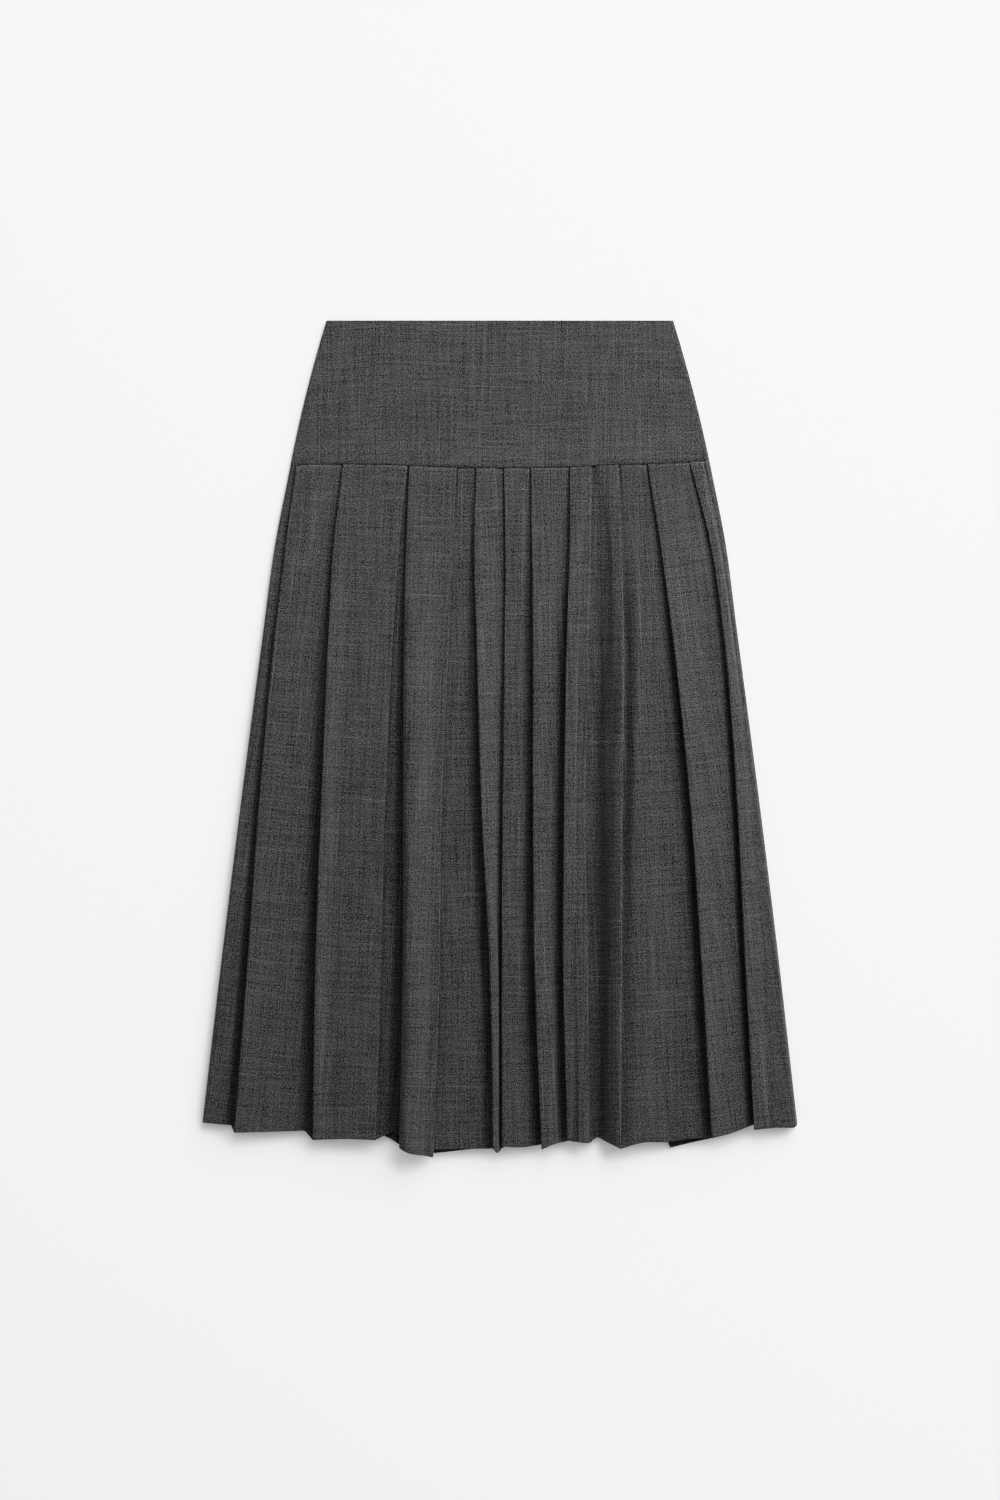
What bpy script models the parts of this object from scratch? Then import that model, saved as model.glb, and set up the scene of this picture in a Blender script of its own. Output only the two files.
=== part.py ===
# Pleated midi skirt on a plain hip yoke, laid flat with its front up.
#
# Frame: +X to the right seen from above, +Y towards the waist, +Z up from the
# surface that the skirt lies on. The origin is the middle of the skirt's
# footprint, on that surface. Tables are in millimetres, meshes in metres.
# A drop is a distance below the waist edge. A level is a share of the way from
# the yoke seam (0) down to the hem (1).

import math
from collections import namedtuple

import bmesh
import bpy
import numpy as np

MM = 0.001

# --- driving sizes, mm ----------------------------------------------------------
LENGTH = 844.2              # waist edge to the lowest hem tip
WAIST_HALF = 175.2          # half of the flat waist
YOKE_FLARE = 0.300          # growth of the half width per mm of drop at the waist
YOKE_EASE = 0.00036         # how fast that growth fades on the way to the hip
CLOTH = 1.0                 # wall of every cloth piece
SEAM_GAP = 0.3              # between pieces at a seam, and between plies
PLY = CLOTH + SEAM_GAP      # pitch of folded plies
PLEAT_STACK = 2.0 * PLY     # from the innermost to the outermost ply of a pleat

# --- heights of the walls' middles above the surface, mm ---------------------------
FLOOR_MID = CLOTH / 2.0                       # back pieces, resting on the surface
BACK_INNER_MID = FLOOR_MID + PLEAT_STACK      # innermost ply of the back's pleats
SIDE_HALF_HEIGHT = 2.0                        # of the flat tube's side rolls, at the yoke
SIDE_REACH = 1.5                              # of those rolls, sideways
FRONT_MID = FLOOR_MID + 2.0 * SIDE_HALF_HEIGHT    # front pieces, resting on the back
SEAM_HEIGHT = 1.9           # of the skirt's single cloth at the yoke seam, where the pleats hold it up
SEAM_HOLD = 0.025           # share of the skirt's length over which it comes down
VIEW_HEIGHT = 4000.0        # places are as seen from here, so what stands higher is drawn inwards
YOKE_RAMP = 2.0             # rise of the yoke's lower edge on to the pleated seam
YOKE_RAMP_LENGTH = 40.0     # drop over which it rises
YOKE_RAMP_CLEAR = 6.0       # stretch beside each side edge that stays down
YOKE_RAMP_INSET = 26.0      # stretch past it over which the ramp grows to its full height

# --- side seams, mm ------------------------------------------------------------------
LEFT_SEAM_INSET = 6.0                       # on the underside
YOKE_RIGHT_SEAM_INSET = (5.2, 3.6)          # on the front, at the waist and at the yoke seam
SKIRT_RIGHT_SEAM_INSET = (3.6, 3.6, 3.2, 5.6, 13.7, 23.0)   # on the front, at LEVELS

# --- folds ---------------------------------------------------------------------------
INNER_FOLD_RADIUS = PLY / 2.0
EDGE_OPENING = 0.02         # growth of a fold's radius per mm that it stands up
WIDEST_EDGE = 0.45          # the most that it can grow so, before it would meet its own tuck
FIRST_RISE = 0.35           # rise at the second of LEVELS, as a share of the third's
ROLL_FULL = 0.4             # level below which an edge's extra roll is full
LANDING = 1.2               # clearance past a hidden tuck before the face comes down
HALFWAY = 0.45              # height at a face's middle, as a share of the sum of its ends',
HALFWAY_RAISED = 0.5        # and of a face that lies over both its neighbours
NARROWEST = 1.0             # a face is never narrower than this between two tucks
WIDEST_GROOVE = 0.85        # a lower face comes to rest within this share of its width,
WIDEST_GROOVES = 0.9        # or if it is lower at both ends, each within its part of this share
WIDEST_UNDER = 0.6          # the groove's bottom lies within this share of that run
STEEPEST = 0.8              # rise of a groove's side per mm across
PINCH = 0.3                 # share of a groove's width that is left at the yoke seam
PINCH_LENGTH = 0.15         # share of the skirt's length over which it opens out
SEAM_FLAT = 0.8             # flat stretch beside the right side seam
TURN_FLAT = 0.3             # flat stretch beside the left edge's roll
BACK_END_FLAT = 2.0         # flat stretches at the back's two ends
INNER_FOLD_POINTS = 3       # points round a hidden inner fold,
EDGE_FOLD_POINTS = 4        # round a fold's edge,
SIDE_EDGE_POINTS = 5        # and round the tube's two side edges

LEVELS = np.array([0.0, 0.125, 0.25, 0.5, 0.75, 1.0])

# How far the skirt's front stands off its back, and how much more its right edge does, at LEVELS
FRONT_LIFT = (0.0, 1.2, 2.6, 4.6, 5.6, 5.8)
RIGHT_LIFT = (0.0, 0.0, 0.3, 1.0, 2.0, 2.5)

# The yoke seam: (x, drop)
SEAM_LINE = [(-212, 145.9), (-190, 144.4), (-130, 144.2), (-88, 145.4), (-42, 147.2), (8, 147.7),
             (68, 146.7), (119, 144.2), (150, 143.6), (192, 141.8), (212, 140.4)]

# The skirt's two side edges: x at LEVELS
LEFT_EDGE = (-211.7, -227.7, -238.9, -260.6, -281.1, -300.5)
RIGHT_EDGE = (211.9, 228.2, 239.2, 261.1, 281.6, 300.5)

# One row for each pleat fold. opens: the side that its edge looks to. x: the edge's place at
# LEVELS. tuck: depth of the hidden ply at the yoke seam and at the hem. rise: how far the edge
# stands up at the last four LEVELS. roll: extra radius of the edge. settled: share of the rise
# that the face still has past the tuck. groove: depth at the last four LEVELS of the groove in
# which the lower face dips under the edge. reach: distance of the groove's bottom from the edge,
# and of its far side at the yoke seam and at the hem.
Fold = namedtuple("Fold", "name opens x tuck rise roll settled groove reach")
FRONT_FOLDS = [
    Fold("1", "left", (-205.8, -217.2, -227.2, -243.1, -255.4, -268.4), (20, 14),
         (0.7, 1.4, 3.6, 4.4), 0.0, 0.25, (0.8, 2.0, 4.0, 4.5), (1.5, 3.0, 13.0)),
    Fold("2", "left", (-158.8, -168.6, -173.3, -180.8, -186.8, -189.1), (20, 15),
         (4.2, 6.2, 6.8, 6.2), 0.0, 0.2, (2.0, 3.0, 3.5, 4.0), (2.5, 11.0, 19.0)),
    Fold("3", "right", (-93.4, -102.3, -107.8, -115.9, -120.3, -125.2), (20, 15),
         (1.8, 2.8, 3.4, 4.0), 0.5, 0.9, (0.0, 0.0, 0.0, 0.0), (2.5, 3.0, 3.0)),
    Fold("4", "left", (-91.7, -95.4, -97.2, -97.9, -98.4, -101.8), (18, 14),
         (4.5, 8.0, 10.0, 11.5), 3.6, 0.8, (1.5, 3.0, 4.5, 5.5), (2.5, 20.0, 24.0)),
    Fold("5", "right", (-43.7, -48.2, -51.5, -58.9, -61.2, -67.3), (18, 14),
         (0.6, 1.0, 1.6, 2.4), 0.3, 0.85, (0.0, 0.0, 0.0, 0.0), (2.5, 6.0, 6.0)),
    Fold("6", "left", (-24.3, -26.2, -23.8, -18.8, -10.1, -7.1), (14, 4),
         (4.2, 6.0, 5.2, 3.8), 0.0, 0.25, (2.2, 3.2, 3.6, 3.2), (2.0, 14.0, 20.0)),
    Fold("7", "left", (3.8, 5.1, 4.5, 2.5, 1.5, 1.9), (18, 14),
         (0.3, 0.6, 1.4, 1.8), 0.2, 0.25, (0.6, 1.0, 1.6, 1.6), (1.0, 4.0, 5.0)),
    Fold("8", "left", (31.2, 32.2, 33.2, 33.2, 35.1, 42.0), (18, 14),
         (2.8, 3.8, 5.2, 5.4), 0.0, 0.25, (2.2, 3.2, 3.8, 3.5), (1.5, 9.0, 14.0)),
    Fold("9", "left", (70.5, 70.2, 67.4, 64.7, 63.7, 67.9), (10, 9),
         (5.0, 5.5, 5.5, 3.6), 0.0, 0.95, (2.2, 3.0, 3.5, 2.5), (2.0, 9.0, 13.0)),
    Fold("10", "right", (92.6, 91.7, 90.3, 86.4, 89.0, 90.4), (10, 9),
         (3.0, 3.5, 3.5, 4.2), 0.9, 0.95, (1.5, 3.0, 4.0, 4.0), (11.0, 20.0, 20.0)),
    Fold("11", "right", (119.9, 123.1, 125.2, 123.8, 123.1, 122.4), (18, 14),
         (3.5, 4.5, 5.5, 6.5), 1.2, 0.15, (2.6, 3.2, 1.8, 1.0), (2.5, 15.0, 15.0)),
    Fold("12", "left", (149.1, 162.5, 173.8, 191.8, 203.7, 214.0), (20, 15),
         (4.6, 6.2, 6.6, 6.4), 0.0, 0.25, (2.5, 4.0, 5.0, 5.0), (1.5, 10.0, 15.0)),
    Fold("13", "left", (191.8, 213.0, 225.2, 238.9, 247.5, 256.7), (5, 10),
         (2.2, 3.4, 4.0, 4.0), 0.0, 0.3, (2.4, 3.8, 4.6, 4.6), (1.5, 6.0, 9.0)),
]

# Where the front is bowed up further. fold: the row above that it follows. beyond: distance of
# its top to the right of that fold. At LEVELS: reach to the left, how full that side is
# (1 straight, 2 bowed) and height. right: its reach to the right.
Swell = namedtuple("Swell", "fold beyond left full height right")
SWELLS = [
    Swell("11", 0.0, (25.0, 25.0, 25.0, 21.0, 19.0, 24.0), (2.0, 2.0, 2.0, 2.0, 1.6, 1.1),
          (0.0, 1.5, 4.0, 5.0, 5.5, 6.0), 60.0),
    Swell("4", 12.0, (12.0, 12.0, 12.0, 12.0, 12.0, 12.0), (1.6, 1.6, 1.6, 1.6, 1.6, 1.6),
          (0.0, 0.4, 1.6, 2.6, 3.0, 3.4), 26.0),
]

# One row for each face between two folds, from the left side edge to the right one: the drops
# of its hem at even steps from its left end to its right one.
FRONT_FACES = [
    (808.8, 810.5, 811.3),
    (819.0, 818.0, 816.5),
    (826.3, 825.4, 826.4),
    (826.0, 823.0, 820.5, 818.5, 821.5),
    (834.6, 839.6, 841.4, 842.3, 844.2),
    (836.2, 835.4, 834.9),
    (835.2, 839.5, 834.6),
    (833.1, 833.7, 830.8),
    (836.2, 830.6, 827.4),
    (826.9, 828.6, 829.8),
    (829.4, 823.8, 827.6, 831.6, 835.6),
    (835.2, 828.9, 828.5, 825.3, 823.1),
    (824.7, 819.0, 810.4),
    (816.2, 815.2, 814.0),
]

# The back's knife pleats: edge at the yoke seam and at the hem; they fan out evenly between.
BACK_SPREAD = (0.0, 0.18, 0.304, 0.553, 0.785, 1.0)
BACK_TUCK = (18, 14)
BACK_REACH = (2.5, 6.0, 6.0)
BackPleat = namedtuple("BackPleat", "name at_seam at_hem")
BACK_PLEATS = [
    BackPleat("1", -180, -262),
    BackPleat("2", -148, -212),
    BackPleat("3", -114, -160),
    BackPleat("4", -79, -108),
    BackPleat("5", -44, -66),
    BackPleat("6", -10, -20),
    BackPleat("7", 23, 28),
    BackPleat("8", 57, 76),
    BackPleat("9", 92, 126),
    BackPleat("10", 126, 172),
    BackPleat("11", 158, 222),
    BackPleat("12", 188, 268),
]
BACK_FACES = [
    (808.8, 809.5, 810.0),
    (812.0, 812.8, 813.0),
    (813.5, 814.0, 817.5),
    (818.0, 824.0, 829.8),
    (830.5, 834.0, 838.0),
    (839.5, 837.0, 834.2),
    (833.0, 831.0, 829.0),
    (828.5, 827.0, 824.5),
    (824.0, 823.5, 823.0),
    (823.5, 824.5, 826.0),
    (834.0, 828.0, 822.7),
    (816.0, 812.0, 809.5),
    (810.5, 812.0, 808.8),
]

# --- concealed zip in the yoke's right side seam, mm --------------------------------------
ZIP_DROP = (11.0, 137.0)     # top and bottom of the chain
ZIP_TAPE_WIDTH = 12.0        # from the seam line inwards
ZIP_TAPE = 0.5               # thickness of each tape
ZIP_CHAIN = (-2.2, 1.5)      # the coil's two sides, from the seam line
SLIDER_WIDTH = 5.0
SLIDER_INSET = 1.8           # of its middle, from the seam line inwards
SLIDER_LENGTH = 8.2
SLIDER_HEIGHT = FRONT_MID - CLOTH / 2.0 - SEAM_GAP - PLY     # fills the space between the layers
TAB_LENGTH = 18.0
TAB_SUNK = 1.0               # stretch of the tab inside the slider
TAB_WIDTH = 4.0
TAB_THICKNESS = 0.8

# --- mesh density ------------------------------------------------------------------------
SKIRT_ROWS = (0.0, 0.06, 0.125, 0.1875, 0.25, 0.375, 0.5, 0.625, 0.75, 0.875, 1.0)   # levels
YOKE_ROWS = 7
YOKE_COLUMNS = 22
ZIP_ROWS = 5

CHARCOAL = (0.054, 0.054, 0.0546)
WOOL_ROUGHNESS = 0.85

COLLECTION = "pleated_midi_skirt"
CUTTERS = "cutters"


def smooth_curve(places, values, at):
    """Smooth curve through values at places, with each slope taken from the neighbours."""
    places = np.asarray(places, float)
    values = np.asarray(values, float)
    slopes = np.gradient(values, places)
    i = np.clip(np.searchsorted(places, at, side="right") - 1, 0, len(places) - 2)
    step = places[i + 1] - places[i]
    u = np.clip((at - places[i]) / step, 0.0, 1.0)
    return ((2 * u**3 - 3 * u**2 + 1) * values[i] + (u**3 - 2 * u**2 + u) * step * slopes[i]
            + (3 * u**2 - 2 * u**3) * values[i + 1] + (u**3 - u**2) * step * slopes[i + 1])


def along(values, level):
    """Smooth curve down the skirt through one value at each of LEVELS."""
    return float(smooth_curve(LEVELS, values, level))


def smooth_step(u):
    u = np.clip(u, 0.0, 1.0)
    return u * u * (3.0 - 2.0 * u)


def seam_drop(x):
    """Drop of the yoke seam at a place across the skirt."""
    places, drops = zip(*SEAM_LINE)
    return smooth_curve(places, drops, x)


def yoke_half_width(drop):
    return WAIST_HALF + YOKE_FLARE * drop - YOKE_EASE * drop**2


def arc(centre_x, centre_z, reach, height, start, end, points):
    """Points on an arc with its two half axes, by angles in degrees from +X towards +Z."""
    angles = np.radians(np.linspace(start, end, points))
    return [(centre_x + reach * math.cos(a), centre_z + height * math.sin(a)) for a in angles]


def side_roll(turn, side, half_height):
    """The cloth round one side edge of the flat tube, from the surface up to the front."""
    last = -90 + side * 180
    return arc(turn, FLOOR_MID + half_height, SIDE_REACH, half_height, -90, last, SIDE_EDGE_POINTS)


# --- one pleated cross-section ---------------------------------------------------------------

class Panel:
    """A pleated panel: its folds, the hem drops of its faces, and the heights of its cloth.

    inner_mid is the middle of its innermost ply. outwards is +1 for the front, whose outside
    looks up, and -1 for the back. rests is the height, counted outwards from the innermost ply,
    at which a face lies between its folds.
    """

    def __init__(self, folds, faces, inner_mid, outwards, rests):
        self.folds = folds
        self.faces = faces
        self.inner_mid = inner_mid
        self.outwards = outwards
        self.rests = rests

    def z(self, height):
        return self.inner_mid + self.outwards * height


class FoldHere:
    """A fold at one level: its place, tuck depth, rise, edge radius and groove."""

    def __init__(self, fold, level):
        rises = (0.0, FIRST_RISE * fold.rise[0]) + fold.rise
        grooves = (0.0, FIRST_RISE * fold.groove[0]) + fold.groove
        near, far_top, far_low = fold.reach
        wide = PINCH + (1.0 - PINCH) * smooth_step(level / PINCH_LENGTH)
        self.opens = fold.opens
        self.x = along(fold.x, level)
        self.rise = max(0.0, along(rises, level))
        self.tuck = fold.tuck[0] + (fold.tuck[1] - fold.tuck[0]) * level
        growth = EDGE_OPENING * self.rise + fold.roll * smooth_step(level / ROLL_FULL)
        self.radius = INNER_FOLD_RADIUS + min(growth, WIDEST_EDGE * self.rise)
        self.past_tuck = PLEAT_STACK + fold.settled * self.rise
        self.groove = max(0.0, along(grooves, level))
        self.near = near * wide
        self.far = (far_top + (far_low - far_top) * level) * wide

    def covers(self, side):
        """Whether the face on one side of the fold (+1 right, -1 left) is the upper one."""
        return (self.opens == "left") == (side > 0)


def fold_points(panel, fold, left_hem, right_hem):
    """(x, z, hem drop) through a fold, from left to right along the cloth.

    The tuck turns round at its hidden inner fold, and the edge turns round at the fold line,
    rise above its neighbours. The edge has the upper face's hem, and the hidden plies have the
    shorter of the two.
    """
    side = 1.0 if fold.opens == "left" else -1.0
    inner_x = fold.x + side * (fold.tuck - CLOTH / 2.0 - INNER_FOLD_RADIUS)
    edge_x = fold.x + side * (CLOTH / 2.0 + fold.radius)
    edge_height = PLEAT_STACK + fold.rise - fold.radius
    inner = arc(0.0, INNER_FOLD_RADIUS, INNER_FOLD_RADIUS, INNER_FOLD_RADIUS, -90, 90, INNER_FOLD_POINTS)
    edge = arc(0.0, edge_height, fold.radius, fold.radius, -90, -270, EDGE_FOLD_POINTS)
    hidden_hem = min(left_hem, right_hem)
    edge_hem = right_hem if fold.opens == "left" else left_hem
    points = [(inner_x + side * dx, panel.z(height), hidden_hem) for dx, height in inner]
    points += [(edge_x + side * dx, panel.z(height), edge_hem) for dx, height in edge]
    return points if fold.opens == "left" else points[::-1]


def lower_runs(left, right, width):
    """How far each lower end of a face takes to come to rest, 0 where that end is the upper one."""
    runs = []
    for fold, other, side in ((left, right, 1.0), (right, left, -1.0)):
        if fold is None or fold.covers(side):
            runs.append(0.0)
            continue
        room = WIDEST_GROOVE * width
        if other is not None and other.covers(-side):
            room = min(room, width - other.tuck - LANDING - NARROWEST)
        runs.append(min(fold.far, room))
    shrink = min(1.0, WIDEST_GROOVES * width / max(sum(runs), NARROWEST))
    return runs[0] * shrink, runs[1] * shrink


def face_end(fold, side, rests, run):
    """Points from a fold into the face on one side of it: (x, height), nearest the fold first."""
    if fold.covers(side):
        return [(fold.x + side * (fold.tuck + LANDING), fold.past_tuck)]
    under = min(fold.near, WIDEST_UNDER * run)
    steepest = STEEPEST * max(0.0, run - under - CLOTH / 2.0)
    return [(fold.x + side * under, -min(fold.groove, steepest)), (fold.x + side * run, min(rests, steepest))]


def face_points(panel, left, right, first, last):
    """(x, height) of the face between two folds, or between a fold and an end of the panel.

    first and last are the panel's ends: (x, height).
    """
    width = (right.x if right else last[0]) - (left.x if left else first[0])
    left_run, right_run = lower_runs(left, right, width)
    start = face_end(left, 1.0, panel.rests, left_run) if left else [first]
    end = face_end(right, -1.0, panel.rests, right_run) if right else [last]
    (start_x, start_height), (end_x, end_height) = start[-1], end[-1]
    middle = 0.5 * (start_x + end_x)
    raised = left and right and left.covers(1.0) and right.covers(-1.0)
    if raised and end_x - start_x < NARROWEST:
        start = [(middle - NARROWEST / 2.0, start_height)]
        end = [(middle + NARROWEST / 2.0, end_height)]
    share = HALFWAY_RAISED if raised else HALFWAY
    rests = min(panel.rests, max(start_height, end_height))
    height = rests + share * (start_height + end_height - 2.0 * rests)
    return start + [(middle, height)] + end[::-1]


def section(panel, level, first, last, first_end, last_end):
    """x, z and hem drop along one cross-section of a pleated panel.

    first and last are the (x, z) points before the first face and after the last one;
    first_end and last_end are the (x, height) at which those faces begin and end.
    """
    folds = [None] + [FoldHere(fold, level) for fold in panel.folds] + [None]
    rows = [(x, z, panel.faces[0][0]) for x, z in first]
    for i, hems in enumerate(panel.faces):
        left, right = folds[i], folds[i + 1]
        left_x = left.x if left else first_end[0]
        right_x = right.x if right else last_end[0]
        for x, height in face_points(panel, left, right, first_end, last_end):
            u = np.clip((x - left_x) / (right_x - left_x), 0.0, 1.0)
            drop = float(smooth_curve(np.linspace(0.0, 1.0, len(hems)), hems, u))
            rows.append((x, panel.z(height), drop))
        if right:
            rows += fold_points(panel, right, hems[-1], panel.faces[i + 1][0])
    rows += [(x, z, panel.faces[-1][-1]) for x, z in last]
    return np.array(rows)


def swell_height(x, level):
    """How far the front is bowed up: 1 - share ** full on the left, a smooth step on the right."""
    height = 0.0 * x
    for swell in SWELLS:
        fold = next(fold for fold in FRONT_FOLDS if fold.name == swell.fold)
        away = x - along(fold.x, level) - swell.beyond
        left = 1.0 - np.clip(-away / along(swell.left, level), 0.0, 1.0) ** along(swell.full, level)
        right = smooth_step(1.0 - away / swell.right)
        height = height + along(swell.height, level) * np.where(away < 0.0, left, right)
    return height


def seen_from_above(grid):
    """Places in mm drawn inwards by their height over VIEW_HEIGHT."""
    grid = np.array(grid)
    grid[..., :2] *= 1.0 - grid[..., 2:] / VIEW_HEIGHT
    return grid


def pleated_grid(section_at):
    """Grid of points: each column starts at the yoke seam and runs down to its own hem drop."""
    top = section_at(0.0)
    start = seam_drop(top[:, 0])
    grid = []
    for level in SKIRT_ROWS:
        here = section_at(level)
        drop = start + level * (here[:, 2] - start)
        grid.append(np.column_stack([here[:, 0], LENGTH / 2.0 - drop, here[:, 1]]))
    return seen_from_above(grid)


def skirt_right_seam(level):
    """The right side seam on the front, never nearer the edge than the start of its roll."""
    inset = max(along(SKIRT_RIGHT_SEAM_INSET, level), CLOTH / 2.0 + SIDE_REACH + 2.0 * SEAM_GAP)
    return along(RIGHT_EDGE, level) - inset


def front_section(level):
    """The front panel: round the left side edge from the seam below, across, to the right seam."""
    left_edge = along(LEFT_EDGE, level)
    lift = along(FRONT_LIFT, level)
    inner_mid = FRONT_MID + lift
    end_height = along(RIGHT_LIFT, level)
    rests = SEAM_HEIGHT * math.exp(-level / SEAM_HOLD)
    panel = Panel(FRONT_FOLDS, FRONT_FACES, inner_mid, 1.0, rests)
    seam = skirt_right_seam(level) - SEAM_GAP / 2.0
    turn = left_edge + CLOTH / 2.0 + SIDE_REACH
    first = [(left_edge + LEFT_SEAM_INSET, FLOOR_MID)] + side_roll(turn, -1, SIDE_HALF_HEIGHT + lift / 2.0)
    last = [(seam, inner_mid + end_height)]
    rows = section(panel, level, first, last, (turn + TURN_FLAT, 0.0), (seam - SEAM_FLAT, end_height))
    rows[len(first):-1, 1] += swell_height(rows[len(first):-1, 0], level)
    return rows


def back_section(level):
    """The back panel: from the left seam below, across, and round the right side edge."""
    left_seam = along(LEFT_EDGE, level) + LEFT_SEAM_INSET + SEAM_GAP
    lift = along(FRONT_LIFT, level) + along(RIGHT_LIFT, level)
    panel = Panel(BACK_FOLDS, BACK_FACES, BACK_INNER_MID, -1.0, PLEAT_STACK)
    turn = along(RIGHT_EDGE, level) - CLOTH / 2.0 - SIDE_REACH
    first = [(left_seam, FLOOR_MID)]
    last = side_roll(turn, 1, SIDE_HALF_HEIGHT + lift / 2.0)
    last.append((skirt_right_seam(level) + SEAM_GAP / 2.0, FRONT_MID + lift))
    first_end = (left_seam + BACK_END_FLAT, PLEAT_STACK)
    last_end = (turn - BACK_END_FLAT, PLEAT_STACK)
    return section(panel, level, first, last, first_end, last_end)


def back_fold(pleat):
    """A back pleat as a fold: pressed flat under the skirt's weight, looking to the right."""
    x = tuple(pleat.at_seam + (pleat.at_hem - pleat.at_seam) * share for share in BACK_SPREAD)
    flat = (0.0, 0.0, 0.0, 0.0)
    return Fold(pleat.name, "right", x, BACK_TUCK, flat, 0.0, 1.0, flat, BACK_REACH)


BACK_FOLDS = [back_fold(pleat) for pleat in BACK_PLEATS]


# --- the yoke ----------------------------------------------------------------------------------

def yoke_seam_inset(drop):
    top, bottom = YOKE_RIGHT_SEAM_INSET
    return top + (bottom - top) * drop / seam_drop(0.0)


def yoke_front_height(x, drop):
    """Middle of the front yoke's wall: level, then up on to the pleats, but not at the sides."""
    ramp = smooth_step((drop - (seam_drop(x) - YOKE_RAMP_LENGTH)) / YOKE_RAMP_LENGTH)
    inside = smooth_step((yoke_half_width(drop) - np.abs(x) - YOKE_RAMP_CLEAR) / YOKE_RAMP_INSET)
    return FRONT_MID + YOKE_RAMP * ramp * inside


def yoke_front_row(share):
    """Points across the front yoke at a share of the way from the waist to the yoke seam."""
    def drop_at(x):
        return share * (seam_drop(x) - SEAM_GAP)

    half = yoke_half_width(drop_at(0.0))
    turn = -half + CLOTH / 2.0 + SIDE_REACH
    seam = half - yoke_seam_inset(drop_at(0.0)) - SEAM_GAP / 2.0
    points = [(-half + LEFT_SEAM_INSET, FLOOR_MID)]
    points += side_roll(turn, -1, SIDE_HALF_HEIGHT)
    for x in np.linspace(turn, seam, YOKE_COLUMNS + 1)[1:]:
        points.append((x, yoke_front_height(x, drop_at(x))))
    return [(x, LENGTH / 2.0 - drop_at(x), z) for x, z in points]


def yoke_back_row(share):
    """Points across the back yoke, flat on the surface and round the right side edge."""
    def drop_at(x):
        return share * (seam_drop(x) - SEAM_GAP)

    half = yoke_half_width(drop_at(0.0))
    turn = half - CLOTH / 2.0 - SIDE_REACH
    seam = half - yoke_seam_inset(drop_at(0.0)) + SEAM_GAP / 2.0
    left_seam = -half + LEFT_SEAM_INSET + SEAM_GAP
    points = [(x, FLOOR_MID) for x in np.linspace(left_seam, turn, YOKE_COLUMNS + 1)]
    points += side_roll(turn, 1, SIDE_HALF_HEIGHT)[1:]
    points.append((seam, FRONT_MID))
    return [(x, LENGTH / 2.0 - drop_at(x), z) for x, z in points]


# --- building objects ------------------------------------------------------------------------------

def make_material(name, colour, roughness, metallic=0.0):
    material = bpy.data.materials.new(name)
    material.use_nodes = True
    shader = material.node_tree.nodes["Principled BSDF"]
    shader.inputs["Base Color"].default_value = (*colour, 1.0)
    shader.inputs["Roughness"].default_value = roughness
    shader.inputs["Metallic"].default_value = metallic
    return material


def add_object(name, mesh, material, collection):
    body = bpy.data.objects.new(name, mesh)
    collection.objects.link(body)
    mesh.materials.append(material)
    return body


def add_cloth(name, grid, material, collection):
    """A cloth piece: an open surface through a grid of points, given its wall by Solidify."""
    rows, columns, _ = grid.shape
    index = np.arange(rows * columns).reshape(rows, columns)
    faces = np.stack([index[1:, :-1], index[1:, 1:], index[:-1, 1:], index[:-1, :-1]], axis=-1)
    mesh = bpy.data.meshes.new(name)
    mesh.from_pydata((grid.reshape(-1, 3) * MM).tolist(), [], faces.reshape(-1, 4).tolist())
    mesh.update()
    body = add_object(name, mesh, material, collection)
    wall = body.modifiers.new("wall", "SOLIDIFY")
    wall.thickness = CLOTH * MM
    wall.offset = 0.0
    wall.use_even_offset = True
    return body


def add_side_zip(material, collection):
    """The closed chain with its two tapes turned inwards, one above the other."""
    low = PLY
    high = FRONT_MID - CLOTH / 2.0 - SEAM_GAP
    chain_left, chain_right = ZIP_CHAIN
    outline = [(chain_right, low), (chain_right, high),
               (-ZIP_TAPE_WIDTH, high), (-ZIP_TAPE_WIDTH, high - ZIP_TAPE),
               (chain_left, high - ZIP_TAPE), (chain_left, low + ZIP_TAPE),
               (-ZIP_TAPE_WIDTH, low + ZIP_TAPE), (-ZIP_TAPE_WIDTH, low)]
    build = bmesh.new()
    rings = []
    for drop in np.linspace(*ZIP_DROP, ZIP_ROWS):
        seam = yoke_half_width(drop) - yoke_seam_inset(drop)
        y = (LENGTH / 2.0 - drop) * MM
        rings.append([build.verts.new(((seam + x) * MM, y, z * MM)) for x, z in outline])
    for upper, lower in zip(rings, rings[1:]):
        for i in range(len(outline)):
            j = (i + 1) % len(outline)
            build.faces.new((upper[i], upper[j], lower[j], lower[i]))
    build.faces.new(rings[0])
    build.faces.new(rings[-1])
    bmesh.ops.recalc_face_normals(build, faces=build.faces)
    mesh = bpy.data.meshes.new("side_zip")
    build.to_mesh(mesh)
    build.free()
    return add_object("side_zip", mesh, material, collection)


def add_box(name, centre, size, collection, material=None):
    """A box of a size about a centre, in millimetres."""
    bpy.ops.mesh.primitive_cube_add(size=1.0, location=[value * MM for value in centre])
    box = bpy.context.object
    box.name = name
    box.data.name = name
    box.scale = [value * MM for value in size]
    bpy.ops.object.transform_apply(location=False, rotation=False, scale=True)
    for other in list(box.users_collection):
        other.objects.unlink(box)
    collection.objects.link(box)
    if material is not None:
        box.data.materials.append(material)
    return box


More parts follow.
